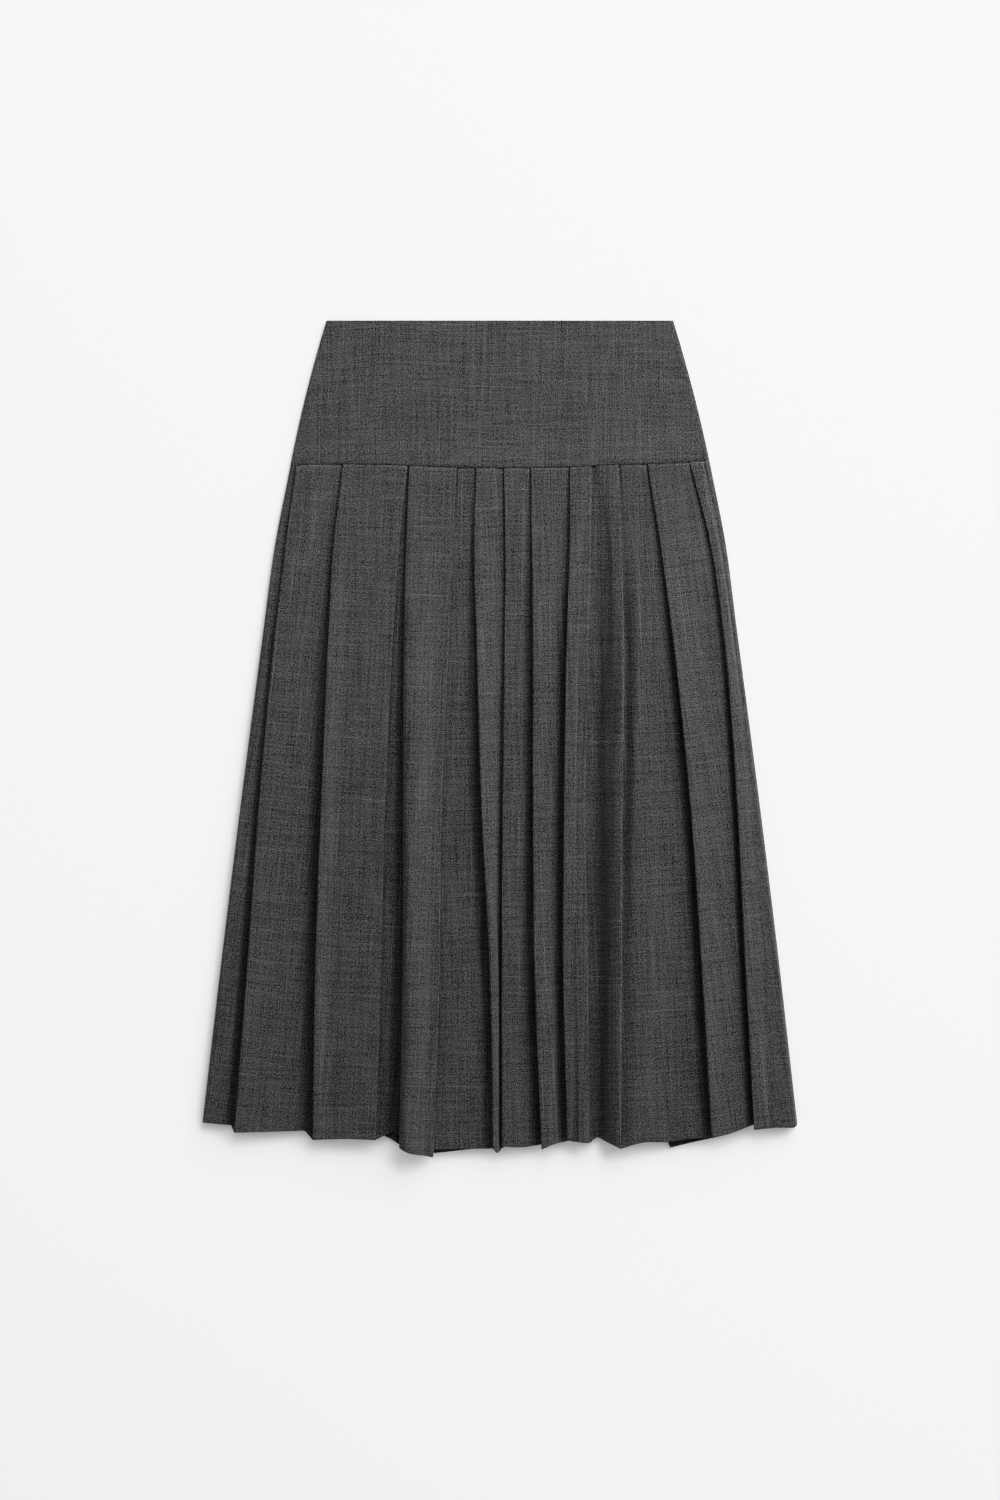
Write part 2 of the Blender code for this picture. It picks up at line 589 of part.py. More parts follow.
def add_zip_slider(material, collection, cutters):
    """The slider above the chain's top, with its pull tab turned inwards between the layers."""
    middle_drop = ZIP_DROP[0] - SEAM_GAP - SLIDER_LENGTH / 2.0
    seam = yoke_half_width(middle_drop) - yoke_seam_inset(middle_drop)
    centre = (seam - SLIDER_INSET, LENGTH / 2.0 - middle_drop, PLY + SLIDER_HEIGHT / 2.0)
    slider = add_box("zip_slider", centre, (SLIDER_WIDTH, SLIDER_LENGTH, SLIDER_HEIGHT), collection, material)
    tab_centre = (centre[0] - SLIDER_WIDTH / 2.0 - TAB_LENGTH / 2.0 + TAB_SUNK, centre[1], centre[2])
    tab = add_box("pull_tab", tab_centre, (TAB_LENGTH, TAB_WIDTH, TAB_THICKNESS), cutters)
    tab.hide_render = True
    tab.display_type = "WIRE"
    join = slider.modifiers.new("pull_tab", "BOOLEAN")
    join.operation = "UNION"
    join.object = tab
    return slider


def new_collection(name):
    collection = bpy.data.collections.new(name)
    bpy.context.scene.collection.children.link(collection)
    return collection


def main():
    for old in list(bpy.data.objects):
        bpy.data.objects.remove(old, do_unlink=True)
    parts = new_collection(COLLECTION)
    cutters = new_collection(CUTTERS)
    def wool(name):
        return make_material(name, CHARCOAL, WOOL_ROUGHNESS)

    # The back runs the other way round the tube, so its rows are turned to face outwards.
    rows = np.linspace(0.0, 1.0, YOKE_ROWS + 1)
    yoke_front = seen_from_above([yoke_front_row(share) for share in rows])
    yoke_back = seen_from_above([yoke_back_row(share) for share in rows])[:, ::-1]
    skirt_front = pleated_grid(front_section)
    skirt_back = pleated_grid(back_section)[:, ::-1]
    add_cloth("yoke_front", yoke_front, wool("yoke_front_wool"), parts)
    add_cloth("yoke_back", yoke_back, wool("yoke_back_wool"), parts)
    add_cloth("skirt_front", skirt_front, wool("skirt_front_wool"), parts)
    add_cloth("skirt_back", skirt_back, wool("skirt_back_wool"), parts)
    add_side_zip(make_material("zip_tape", (0.05, 0.05, 0.052), 0.7), parts)
    add_zip_slider(make_material("zip_metal", (0.12, 0.12, 0.125), 0.35, 0.9), parts, cutters)


main()
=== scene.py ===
import math

import bpy
import numpy as np
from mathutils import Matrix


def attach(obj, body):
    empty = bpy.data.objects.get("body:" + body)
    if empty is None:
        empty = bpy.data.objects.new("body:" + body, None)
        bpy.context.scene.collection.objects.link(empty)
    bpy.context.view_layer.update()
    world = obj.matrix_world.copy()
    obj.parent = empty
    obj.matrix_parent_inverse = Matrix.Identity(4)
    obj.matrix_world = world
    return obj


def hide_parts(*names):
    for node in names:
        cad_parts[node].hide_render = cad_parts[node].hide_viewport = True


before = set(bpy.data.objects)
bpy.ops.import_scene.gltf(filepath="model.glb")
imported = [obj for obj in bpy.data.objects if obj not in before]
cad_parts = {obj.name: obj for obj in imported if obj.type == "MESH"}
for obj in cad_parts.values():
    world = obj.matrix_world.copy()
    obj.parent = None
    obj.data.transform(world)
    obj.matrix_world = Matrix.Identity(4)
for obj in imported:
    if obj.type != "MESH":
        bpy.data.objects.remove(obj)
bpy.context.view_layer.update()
mm = 0.001
tiny = 1e-4                   # mm that keeps the knots of a curve in order

# Sizes of the whole garment in mm. A drop is a distance below the waist edge.
form = {
    "length": 844.2,          # waist to the lowest hem tip
    "waistHalf": 175.2,
    "yokeFlare": 0.300,       # growth of the half width per mm of drop at the waist
    "yokeEase": 0.00036,      # how fast that growth fades
    "ply": 1.3,               # pitch of folded plies
    "wall": 0.8,              # thickness of the cloth as shown
    "floorMid": 0.5,          # middle of the plies that rest on the surface
    "frontMid": 4.5,          # middle of the front's innermost ply at the yoke
    "sideRadius": 2.0,        # half the height of the flat tube's two side rolls, at the yoke
    "leftReach": 1.5,         # their reach sideways
    "rightReach": 2.6,
    "rollPoints": 9,          # columns round a side roll
    "seamGap": 0.3,
    "seamClear": 0.5,         # least distance of the right side seam from the roll beside it
    "sewnGap": 0.05,          # between the front and the back where they are sewn together
    "leftSeamInset": 6.0,     # on the underside
    "viewHeight": 4000.0,     # places are as seen from here, so what stands higher is drawn inwards
}
stack = 2.0 * form["ply"]     # from the innermost to the outermost ply of a pleat
backMid = form["floorMid"] + stack
halfWall = form["wall"] / 2.0

# The yoke seam: place across, drop
seamLine = [
    (-212, 146.5), (-190, 145.0), (-130, 144.8), (-88, 146.0), (-42, 147.8), (8, 148.3),
    (68, 147.3), (119, 144.8), (150, 144.2), (192, 142.4), (212, 141.0),
]


def cubic(u, step, startValue, startSlope, endValue, endSlope):
    # the cubic over one step that has these values and slopes at its ends
    return ((2 * u**3 - 3 * u**2 + 1) * startValue + (u**3 - 2 * u**2 + u) * step * startSlope
            + (3 * u**2 - 2 * u**3) * endValue + (u**3 - u**2) * step * endSlope)


def smoothCurve(places, values, at):
    # cubics through the values, each slope taken from the two neighbours
    places = np.asarray(places, float)
    values = np.asarray(values, float)
    slopes = np.gradient(values, places)
    at = np.asarray(at, float)
    i = np.clip(np.searchsorted(places, at, side="right") - 1, 0, len(places) - 2)
    step = places[i + 1] - places[i]
    u = np.clip((at - places[i]) / step, 0.0, 1.0)
    return cubic(u, step, values[i], slopes[i], values[i + 1], slopes[i + 1])


def steadyCurve(knotsX, knotsZ, at):
    # cubics through each row's own knots, which never overshoot them:
    # each slope is the harmonic mean of its two neighbours', nought at the ends and turns
    run = np.diff(knotsX, axis=1)
    rise = np.diff(knotsZ, axis=1) / run
    product = rise[:, :-1] * rise[:, 1:]
    total = rise[:, :-1] + rise[:, 1:]
    inner = np.where(product > 0.0, 2.0 * product / np.where(total == 0.0, 1.0, total), 0.0)
    slopes = np.pad(inner, ((0, 0), (1, 1)))
    out = np.repeat(knotsZ[:, :1], at.shape[1], axis=1)
    for k in range(run.shape[1]):
        here, after = slice(k, k + 1), slice(k + 1, k + 2)
        step = run[:, here]
        u = np.clip((at - knotsX[:, here]) / step, 0.0, 1.0)
        z = cubic(u, step, knotsZ[:, here], slopes[:, here], knotsZ[:, after], slopes[:, after])
        out = np.where(at >= knotsX[:, here], z, out)
    return out


def smoothStep(u):
    # 3 u^2 - 2 u^3, from 0 to 1
    u = np.clip(u, 0.0, 1.0)
    return u * u * (3.0 - 2.0 * u)


def arcColumns(centreX, centreZ, reach, height, start, end, points):
    # centre + (reach cos, height sin), a column for each angle in degrees
    angles = np.radians(np.linspace(start, end, points))[None, :]
    x = centreX[:, None] + reach[:, None] * np.cos(angles)
    z = centreZ[:, None] + height[:, None] * np.sin(angles)
    return x, z


def sideRoll(edge, side, height):
    # the columns round one side edge: half an ellipse from the surface up to the front
    reach = np.full_like(edge, form["leftReach"] if side < 0 else form["rightReach"])
    turn = edge - side * (halfWall + reach)
    centre = form["floorMid"] + height
    x, z = arcColumns(turn, centre, reach, height, -90, -90 + side * 180, form["rollPoints"])
    return turn, x, z


def seamDrop(x):
    places, drops = zip(*seamLine)
    return smoothCurve(places, drops, x)


def yokeHalf(drop):
    # half width = waist + flare x drop - ease x drop squared
    return form["waistHalf"] + form["yokeFlare"] * drop - form["yokeEase"] * drop**2


levels = [0.0, 0.125, 0.25, 0.5, 0.75, 1.0]      # shares of the way from the yoke seam to the hem
frontLift = (0.0, 1.2, 2.6, 4.6, 5.6, 5.8)       # how far the front stands off the back, at those levels
rightLift = (0.0, 0.0, 0.1, 0.9, 2.4, 3.0)       # how much more its right edge does

# Side edges and the right side seam's inset, at those levels
leftEdge = (-211.7, -227.7, -238.9, -260.6, -281.1, -300.5)
rightEdge = (211.9, 228.2, 239.2, 261.1, 281.6, 300.5)
rightSeamInset = (3.6, 3.6, 3.2, 5.6, 13.7, 23.0)

# A fold: the side it opens to, its place at the levels, depth of its tuck at the seam and the hem,
# how far its edge stands up at the last four levels, extra radius of its edge, the share of that rise
# that the face still has past the tuck, and the groove beside its edge: depth at the last four levels,
# distance of its bottom, and of its far side at the seam and at the hem
frontFolds = [
    ("left", (-205.8, -217.2, -227.2, -243.1, -255.4, -268.4), (20, 14), (0.7, 1.4, 3.6, 4.4), 0.0, 0.25,
     (1.0, 3.0, 5.0, 5.4), (1.5, 3.0, 13.0)),
    ("left", (-158.8, -168.6, -173.3, -180.8, -186.8, -189.1), (20, 15), (4.2, 6.2, 6.8, 6.2), 0.0, 0.2,
     (2.4, 4.2, 5.2, 5.4), (2.0, 10.5, 18.5)),
    ("right", (-93.4, -102.3, -107.8, -115.9, -120.3, -125.2), (20, 15), (1.8, 2.8, 3.4, 4.0), 0.5, 0.9,
     (0.0, 0.0, 0.0, 0.0), (2.5, 3.0, 3.0)),
    ("left", (-91.7, -95.4, -97.2, -97.9, -98.4, -101.8), (16, 10), (4.5, 8.0, 10.0, 11.5), 3.6, 0.8,
     (1.5, 3.0, 4.5, 5.5), (2.5, 20.0, 24.0)),
    ("right", (-43.7, -48.2, -51.5, -58.9, -61.2, -67.3), (12, 6), (0.8, 1.6, 2.4, 3.2), 0.3, 0.85,
     (0.0, 0.0, 0.0, 0.0), (2.5, 6.0, 6.0)),
    ("left", (-24.3, -26.2, -23.8, -18.8, -10.1, -7.1), (14, 4), (4.2, 6.0, 5.2, 3.8), 0.0, 0.25,
     (2.5, 4.4, 5.2, 5.2), (1.6, 12.5, 18.0)),
    ("left", (3.8, 5.1, 4.5, 2.5, 1.5, 1.9), (18, 14), (0.3, 0.6, 1.4, 1.8), 0.2, 0.25,
     (1.2, 2.2, 3.2, 3.2), (0.9, 4.0, 5.0)),
    ("left", (31.2, 32.2, 33.2, 33.2, 35.1, 42.0), (18, 14), (2.8, 3.8, 5.2, 5.4), 0.0, 0.25,
     (2.5, 4.4, 5.4, 5.4), (1.2, 8.5, 13.0)),
    ("left", (70.5, 70.2, 67.4, 64.7, 63.7, 67.9), (10, 9), (5.0, 5.5, 4.0, 2.4), 0.0, 0.95,
     (2.5, 4.4, 5.4, 5.4), (1.2, 7.0, 9.5)),
    ("right", (92.6, 91.7, 90.3, 86.4, 89.0, 90.4), (10, 9), (3.0, 3.5, 5.2, 6.0), 0.9, 0.95,
     (3.0, 4.8, 5.4, 5.2), (10.0, 19.0, 20.0)),
    ("right", (119.9, 123.1, 125.2, 123.8, 123.1, 122.4), (9, 13), (3.5, 4.5, 5.5, 6.5), 0.5, 0.15,
     (4.4, 5.0, 2.6, 1.2), (1.6, 13.0, 14.0)),
    ("left", (149.1, 162.5, 173.8, 191.8, 203.7, 214.0), (20, 15), (4.6, 6.2, 6.6, 6.4), 0.0, 0.25,
     (2.6, 4.6, 5.6, 5.6), (1.2, 9.5, 14.0)),
    ("left", (191.8, 213.0, 225.2, 238.9, 247.5, 256.7), (5, 10), (2.2, 3.4, 4.0, 4.0), 0.0, 0.5,
     (2.5, 4.4, 5.4, 5.4), (1.2, 6.0, 9.0)),
]

# Each face between two folds: drops of its hem at even steps from left to right, the extra tilt of
# its grain in degrees, and the stretch at its right end over which its hem falls to the next face's
frontFaces = [
    ((808.8, 810.5, 811.3), -3.0, 3.0),
    ((819.0, 818.0, 816.5), -2.0, 8.0),
    ((826.3, 825.4, 826.4), -1.0, 0.0),
    ((826.0, 823.0, 820.5, 818.5, 821.5), -1.0, 0.0),
    ((834.6, 839.6, 841.4, 842.3, 844.0), -1.0, 0.0),
    ((836.2, 835.4, 834.9), 1.0, 0.0),
    ((835.2, 839.5, 834.6), 2.0, 0.0),
    ((833.1, 833.7, 830.8), 0.0, 0.0),
    ((836.2, 830.6, 827.4), 1.5, 0.0),
    ((826.9, 828.6, 829.8), 0.0, 0.0),
    ((829.4, 823.8, 827.6, 831.6, 835.6), 0.0, 0.0),
    ((835.2, 828.9, 828.5, 825.3, 823.1), 1.0, 0.0),
    ((824.7, 819.0, 810.4), 4.0, 0.0),
    ((816.2, 815.2, 814.0), 2.0, 0.0),
]

# The back's knife pleats, pressed flat, all opening to the right: place at the seam and at the hem
backSpread = (0.0, 0.18, 0.304, 0.553, 0.785, 1.0)      # share of that way at the levels
backTuck = (18, 14)
backReach = (2.5, 6.0, 6.0)
pressedFlat = (0, 0, 0, 0)
backPleats = [
    (-180, -262), (-148, -212), (-114, -160), (-79, -108), (-44, -66), (-10, -20),
    (23, 28), (57, 76), (92, 126), (126, 172), (158, 222), (188, 268),
]
backFolds = [("right", tuple(top + (low - top) * share for share in backSpread), backTuck, pressedFlat,
              0.0, 1.0, pressedFlat, backReach) for top, low in backPleats]
backFaces = [
    ((808.8, 809.5, 810.0), 3.0, 0.0),
    ((812.0, 812.8, 813.0), 2.5, 0.0),
    ((813.5, 814.0, 817.5), 2.0, 0.0),
    ((817.0, 817.5, 818.5, 820.5, 826.0), 1.5, 0.0),
    ((826.5, 833.0, 834.5, 836.5, 838.0), 1.0, 0.0),
    ((839.5, 837.0, 834.2), 0.5, 0.0),
    ((833.0, 831.0, 829.0), 0.0, 0.0),
    ((828.5, 827.0, 824.5), 0.0, 0.0),
    ((824.0, 823.5, 823.0), -0.5, 0.0),
    ((823.5, 824.5, 826.0), -1.5, 0.0),
    ((834.0, 828.0, 822.7), -2.0, 0.0),
    ((816.0, 812.0, 809.5), -3.0, 0.0),
    ((810.5, 812.0, 808.8), -4.0, 0.0),
]

pleatShape = {
    "innerRadius": 0.65,      # of a tuck's hidden fold
    "edgeRadius": 0.5,        # of an edge that lies flat
    "edgeOpening": 0.02,      # growth of an edge's radius per mm that it stands up
    "widestEdge": 0.45,       # radius of an edge, as a share of how far it stands up
    "firstRise": 0.35,        # rise at the second level, as a share of the third's
    "landing": 1.2,           # clearance past a tuck before the face comes down
    "leastFlat": 1.0,         # mm of a face that is always left between its two ends
    "midway": 0.5,            # height of a face's middle between its ends' where it is upper at both
    "halfway": 0.45,          # and elsewhere
    "pinch": 0.3,             # share of a groove's width that is left at the yoke seam
    "pinchLength": 0.15,      # share of the skirt's length over which it opens out
    "rollLength": 0.4,        # the same for an edge's extra radius
    "widestGroove": 0.85,     # share of a face's width in which it comes to rest where it is the lower one,
    "widestGrooves": 0.9,     # or for both its ends together
    "widestUnder": 0.6,       # share of that run in which the groove's bottom lies
    "steepest": 1.0,          # rise of a groove's side per mm across
    "freeFrom": 0.12,         # share of a face's width, from each end, over which its ripples begin
}
pleatMesh = {
    "facePoints": 22,
    "hiddenPoints": 4,
    "innerPoints": 6,
    "plyPoints": 5,
    "edgePoints": 9,
    "closer": 0.4,            # how far a face's columns are drawn towards its ends
}


def foldTrack(fold, level):
    # place, tuck depth, rise, edge radius and groove down the fold
    opens, places, tuck, rises, roll, settled, grooves, (near, farTop, farLow) = fold
    s = pleatShape
    rise = np.maximum(0.0, smoothCurve(levels, (0.0, s["firstRise"] * rises[0]) + tuple(rises), level))
    growth = s["edgeOpening"] * rise + roll * smoothStep(level / s["rollLength"])
    groove = smoothCurve(levels, (0.0, s["firstRise"] * grooves[0]) + tuple(grooves), level)
    opening = s["pinch"] + (1.0 - s["pinch"]) * smoothStep(level / s["pinchLength"])
    return {
        "opens": opens,
        "x": smoothCurve(levels, places, level),
        "tuck": tuck[0] + (tuck[1] - tuck[0]) * level,
        "rise": rise,
        "radius": s["edgeRadius"] + np.minimum(growth, s["widestEdge"] * rise),
        "settled": settled,
        "groove": np.maximum(0.0, groove),
        "near": near * opening,
        "far": (farTop + (farLow - farTop) * level) * opening,
    }


def foldColumns(fold):
    # across a fold along the cloth: round the hidden inner fold, along the hidden ply, round the edge
    x, tuck, rise, radius = fold["x"], fold["tuck"], fold["rise"], fold["radius"]
    inner = np.full_like(x, pleatShape["innerRadius"])
    side = 1.0 if fold["opens"] == "left" else -1.0
    top = stack + rise - radius
    innerX, innerZ = arcColumns(0 * x, inner, inner, inner, -90, 90, pleatMesh["innerPoints"])
    edgeX, edgeZ = arcColumns(0 * x, top, radius, radius, -90, -270, pleatMesh["edgePoints"])
    innerX = (x + side * (tuck - halfWall - inner))[:, None] + side * innerX
    edgeX = (x + side * (halfWall + radius))[:, None] + side * edgeX
    u = np.linspace(0.0, 1.0, pleatMesh["plyPoints"] + 2)[None, 1:-1]
    plyX = innerX[:, -1:] + (edgeX[:, :1] - innerX[:, -1:]) * u
    plyZ = innerZ[:, -1:] + (edgeZ[:, :1] - innerZ[:, -1:]) * smoothStep(u)
    columnsX = np.hstack([innerX, plyX, edgeX])
    columnsZ = np.hstack([innerZ, plyZ, edgeZ])
    if fold["opens"] == "right":
        return columnsX[:, ::-1], columnsZ[:, ::-1]
    return columnsX, columnsZ


def covers(fold, side):
    # whether the face on one side of a fold (+1 right, -1 left) is the upper one
    return (fold["opens"] == "left") == (side > 0)


def lowerRuns(left, right, width):
    # how far each lower end of a face takes to come to rest, nought where that end is the upper one
    s = pleatShape
    runs = []
    for fold, other, side in ((left, right, 1.0), (right, left, -1.0)):
        if fold is None or covers(fold, side):
            runs.append(0.0 * width)
            continue
        room = s["widestGroove"] * width
        if other is not None and covers(other, -side):
            room = np.minimum(room, width - other["tuck"] - s["landing"] - s["leastFlat"])
        runs.append(np.minimum(fold["far"], room))
    shrink = np.minimum(1.0, s["widestGrooves"] * width / np.maximum(runs[0] + runs[1], tiny))
    return runs[0] * shrink, runs[1] * shrink


def endKnots(fold, side, rests, run):
    # knots from a fold into the face on one side of it: as the upper one from its edge down past the tuck,
    # as the lower one from under the fold through the groove up to where it rests
    s = pleatShape
    x, tuck = fold["x"], fold["tuck"]
    if covers(fold, side):
        return ([x + side * (halfWall + fold["radius"]), x + side * (tuck + s["landing"])],
                [stack + fold["rise"], stack + fold["settled"] * fold["rise"]])
    under = np.minimum(fold["near"], s["widestUnder"] * run)
    steepest = s["steepest"] * (run - under)
    hidden = x - side * (tuck - halfWall - s["innerRadius"])
    return ([hidden, x + side * under, x + side * run],
            [0 * x, -np.minimum(fold["groove"], steepest), np.minimum(rests, steepest)])


def faceKnots(left, right, leftX, rightX, rests, endRise):
    # knots across a face: those of its two ends, and one in the middle between them
    s = pleatShape
    leftRun, rightRun = lowerRuns(left, right, rightX - leftX)
    knotsX, knotsZ = [leftX], [0 * leftX + rests]
    if left is not None:
        knotsX, knotsZ = endKnots(left, 1.0, rests, leftRun)
    farX, farZ = [rightX], [0 * rightX + rests + endRise]
    if right is not None:
        farX, farZ = endKnots(right, -1.0, rests, rightRun)
    start, end = knotsX[-1], farX[-1]
    upperAtBoth = left is not None and right is not None and covers(left, 1.0) and covers(right, -1.0)
    tight = (end - start < s["leastFlat"]) & upperAtBoth
    middle = 0.5 * (start + end)
    start = np.where(tight, middle - s["leastFlat"] / 2.0, start)
    end = np.where(tight, middle + s["leastFlat"] / 2.0, end)
    knotsX[-1], farX[-1] = start, end
    low = np.minimum(rests, np.maximum(knotsZ[-1], farZ[-1]))
    share = s["midway"] if upperAtBoth else s["halfway"]
    middleZ = low + share * (knotsZ[-1] + farZ[-1] - 2.0 * low)
    allX = np.stack(knotsX + [0.5 * (start + end)] + farX[::-1], axis=1)
    allZ = np.stack(knotsZ + [middleZ] + farZ[::-1], axis=1)
    spacing = np.arange(allX.shape[1]) * tiny
    return np.maximum.accumulate(allX + spacing, axis=1) + spacing, allZ


def faceColumns(left, right, leftX, rightX, rests, endRise):
    # columns across a face, and a few more where it runs on under a fold: x, height,
    # below 0 or above 0 where the fold at its left or right hides it, and how free it is to ripple
    knotsX, knotsZ = faceKnots(left, right, leftX, rightX, rests, endRise)
    underLeft = left is not None and not covers(left, 1.0)
    underRight = right is not None and not covers(right, -1.0)
    start = leftX if underLeft else knotsX[:, 0]
    end = rightX if underRight else knotsX[:, -1]
    u = np.linspace(0.0, 1.0, pleatMesh["facePoints"] + 2)
    closer = pleatMesh["closer"]
    u = (1.0 - closer) * u + closer * (0.5 - 0.5 * np.cos(np.pi * u))
    u = u[(0 if left is None else 1):(len(u) if right is None else -1)]
    at = start[:, None] + (end - start)[:, None] * u[None, :]
    hidden = np.zeros(at.shape[1])
    shown = np.ones(at.shape[1])
    share = np.linspace(0.0, 1.0, pleatMesh["hiddenPoints"] + 1)
    if underLeft:
        near = knotsX[:, :1] + (start[:, None] - knotsX[:, :1]) * share[None, 1:]
        at = np.hstack([near, at])
        hidden = np.concatenate([share[1:] - 1.0, hidden])
        shown = np.concatenate([0 * share[1:], shown])
    if underRight:
        near = end[:, None] + (knotsX[:, -1:] - end[:, None]) * share[None, :-1]
        at = np.hstack([at, near])
        hidden = np.concatenate([hidden, share[:-1]])
        shown = np.concatenate([shown, 0 * share[:-1]])
    z = steadyCurve(knotsX, knotsZ, at)
    across = np.clip((at - leftX[:, None]) / (rightX - leftX)[:, None], 0.0, 1.0)
    fade = pleatShape["freeFrom"]
    free = shown[None, :] * smoothStep(across / fade) * smoothStep((1.0 - across) / fade)
    return at, z, hidden, free


def pleatedSection(folds, faces, level, firstX, lastX, rests, endRise=0.0):
    # a face and then a fold at a time from left to right:
    # x, height over the innermost ply, drop of the hem, face number and freedom of every column
    tracks = [foldTrack(fold, level) for fold in folds]
    limits = [firstX] + [track["x"] for track in tracks] + [lastX]

    def hemAt(i, x):
        # the curve through the hem drops of face i, held past its ends,
        # plus a straight fall to the next face's first drop over its last stretch
        hems, _, stretch = faces[i]
        across = np.clip((x - limits[i][:, None]) / (limits[i + 1] - limits[i])[:, None], 0.0, 1.0)
        hem = smoothCurve(np.linspace(0.0, 1.0, len(hems)), hems, across)
        if stretch > 0.0:
            share = np.clip((x - limits[i + 1][:, None]) / stretch + 1.0, 0.0, 1.0)
            hem = hem + (faces[i + 1][0][0] - hems[-1]) * share
        return hem

    out = []
    for i in range(len(faces)):
        left = tracks[i - 1] if i > 0 else None
        right = tracks[i] if i < len(folds) else None
        x, z, hidden, free = faceColumns(left, right, limits[i], limits[i + 1], rests, endRise)
        # what is hidden is nowhere longer than the face over it
        hem = hemAt(i, x)
        if left is not None:
            hem = np.where(hidden < 0, np.minimum(hem, hemAt(i - 1, x)), hem)
        if right is not None:
            hem = np.where(hidden > 0, np.minimum(hem, hemAt(i + 1, x)), hem)
        out.append((x, z, hem, np.full(x.shape[1], i), free))
        if right is None:
            continue
        x, z = foldColumns(right)
        place = np.arange(x.shape[1])
        upper, lower = i + 1, i
        isEdge = place >= len(place) - pleatMesh["edgePoints"]
        if right["opens"] == "right":
            upper, lower = i, i + 1
            isEdge = place < pleatMesh["edgePoints"]
        hem = hemAt(upper, x)
        hem = np.where(isEdge[None, :], hem, np.minimum(hem, hemAt(lower, x)))
        out.append((x, z, hem, np.full(len(place), upper), 0.0 * x))
    x, z, hem, face, free = zip(*out)
    return np.hstack(x), np.hstack(z), np.hstack(hem), np.concatenate(face), np.hstack(free)


def rightSeam(level):
    # the right edge less the seam's inset, which is never so small that the seam meets the roll
    least = form["seamClear"] + form["rightReach"] + 2.0 * form["seamGap"]
    inset = np.maximum(smoothCurve(levels, rightSeamInset, level), least)
    return smoothCurve(levels, rightEdge, level) - inset


clothMesh = {
    "rimAngles": (45.0, 90.0, 135.0),      # of the points round the cloth's upper and lower edges
    "sharpFrom": 50.0,        # degrees
    "leanShare": 0.8,         # how far the threads of a face lean with its middle line
    "faceShift": 0.137,       # m by which each face is set on along the cloth, so that no two look alike
}


def gridNormals(points):
    # cross product of the two directions along the grid, made unit
    across = np.gradient(points, axis=1)
    down = np.gradient(points, axis=0)
    normal = np.cross(down, across)
    return normal / np.maximum(np.linalg.norm(normal, axis=2, keepdims=True), 1e-12)


def shellPoints(middle, outwards, thickness):
    # the outer skin down, a half circle round the lower edge, the inner skin up, and one round the top
    normal = gridNormals(middle) * outwards
    half = thickness / 2.0
    down = np.gradient(middle, axis=0)
    down = down / np.linalg.norm(down, axis=2, keepdims=True)
    turn = np.radians(clothMesh["rimAngles"])[:, None, None]
    low = middle[-1] + half * (np.cos(turn) * normal[-1] + np.sin(turn) * down[-1])
    high = middle[0] + half * (np.cos(turn[::-1]) * normal[0] - np.sin(turn[::-1]) * down[0])
    return np.concatenate([middle + half * normal, low, (middle - half * normal)[::-1], high])


def clothPlane(grain, row, column, face):
    # u, v in metres on the cloth laid out flat: u along the cloth from the face's middle column, v along y,
    # both turned by the tilt of that face's grain
    centre = grain["centre"][face]
    along = grain["path"][row, column] - grain["path"][row, centre] + grain["x"][row, centre]
    down = grain["y"][row, column] + grain["bow"][row, column]
    angle = grain["tilt"][face]
    u = along * np.cos(angle) - down * np.sin(angle)
    v = along * np.sin(angle) + down * np.cos(angle)
    return u * mm + grain["shift"][face], v * mm


def grainMap(middle, face, extraTilt, bow=0.0):
    # the threads of a face run along its middle line, less a part, plus its own extra tilt
    path = np.zeros(middle.shape[:2])
    path[:, 1:] = np.cumsum(np.linalg.norm(np.diff(middle[:, :, [0, 2]], axis=1), axis=2), axis=1)
    columns = np.arange(len(face))
    centre = np.array([int(np.median(columns[face == i])) for i in range(face.max() + 1)])
    x, y = middle[..., 0], middle[..., 1]
    lean = np.arctan2(x[-1, centre] - x[0, centre], y[0, centre] - y[-1, centre])
    return {
        "path": path,
        "x": x,
        "y": y,
        "centre": centre,
        "face": face,
        "bow": bow + 0.0 * x,
        "tilt": -clothMesh["leanShare"] * lean - np.radians(extraTilt),
        "shift": clothMesh["faceShift"] * np.arange(len(centre)),
    }


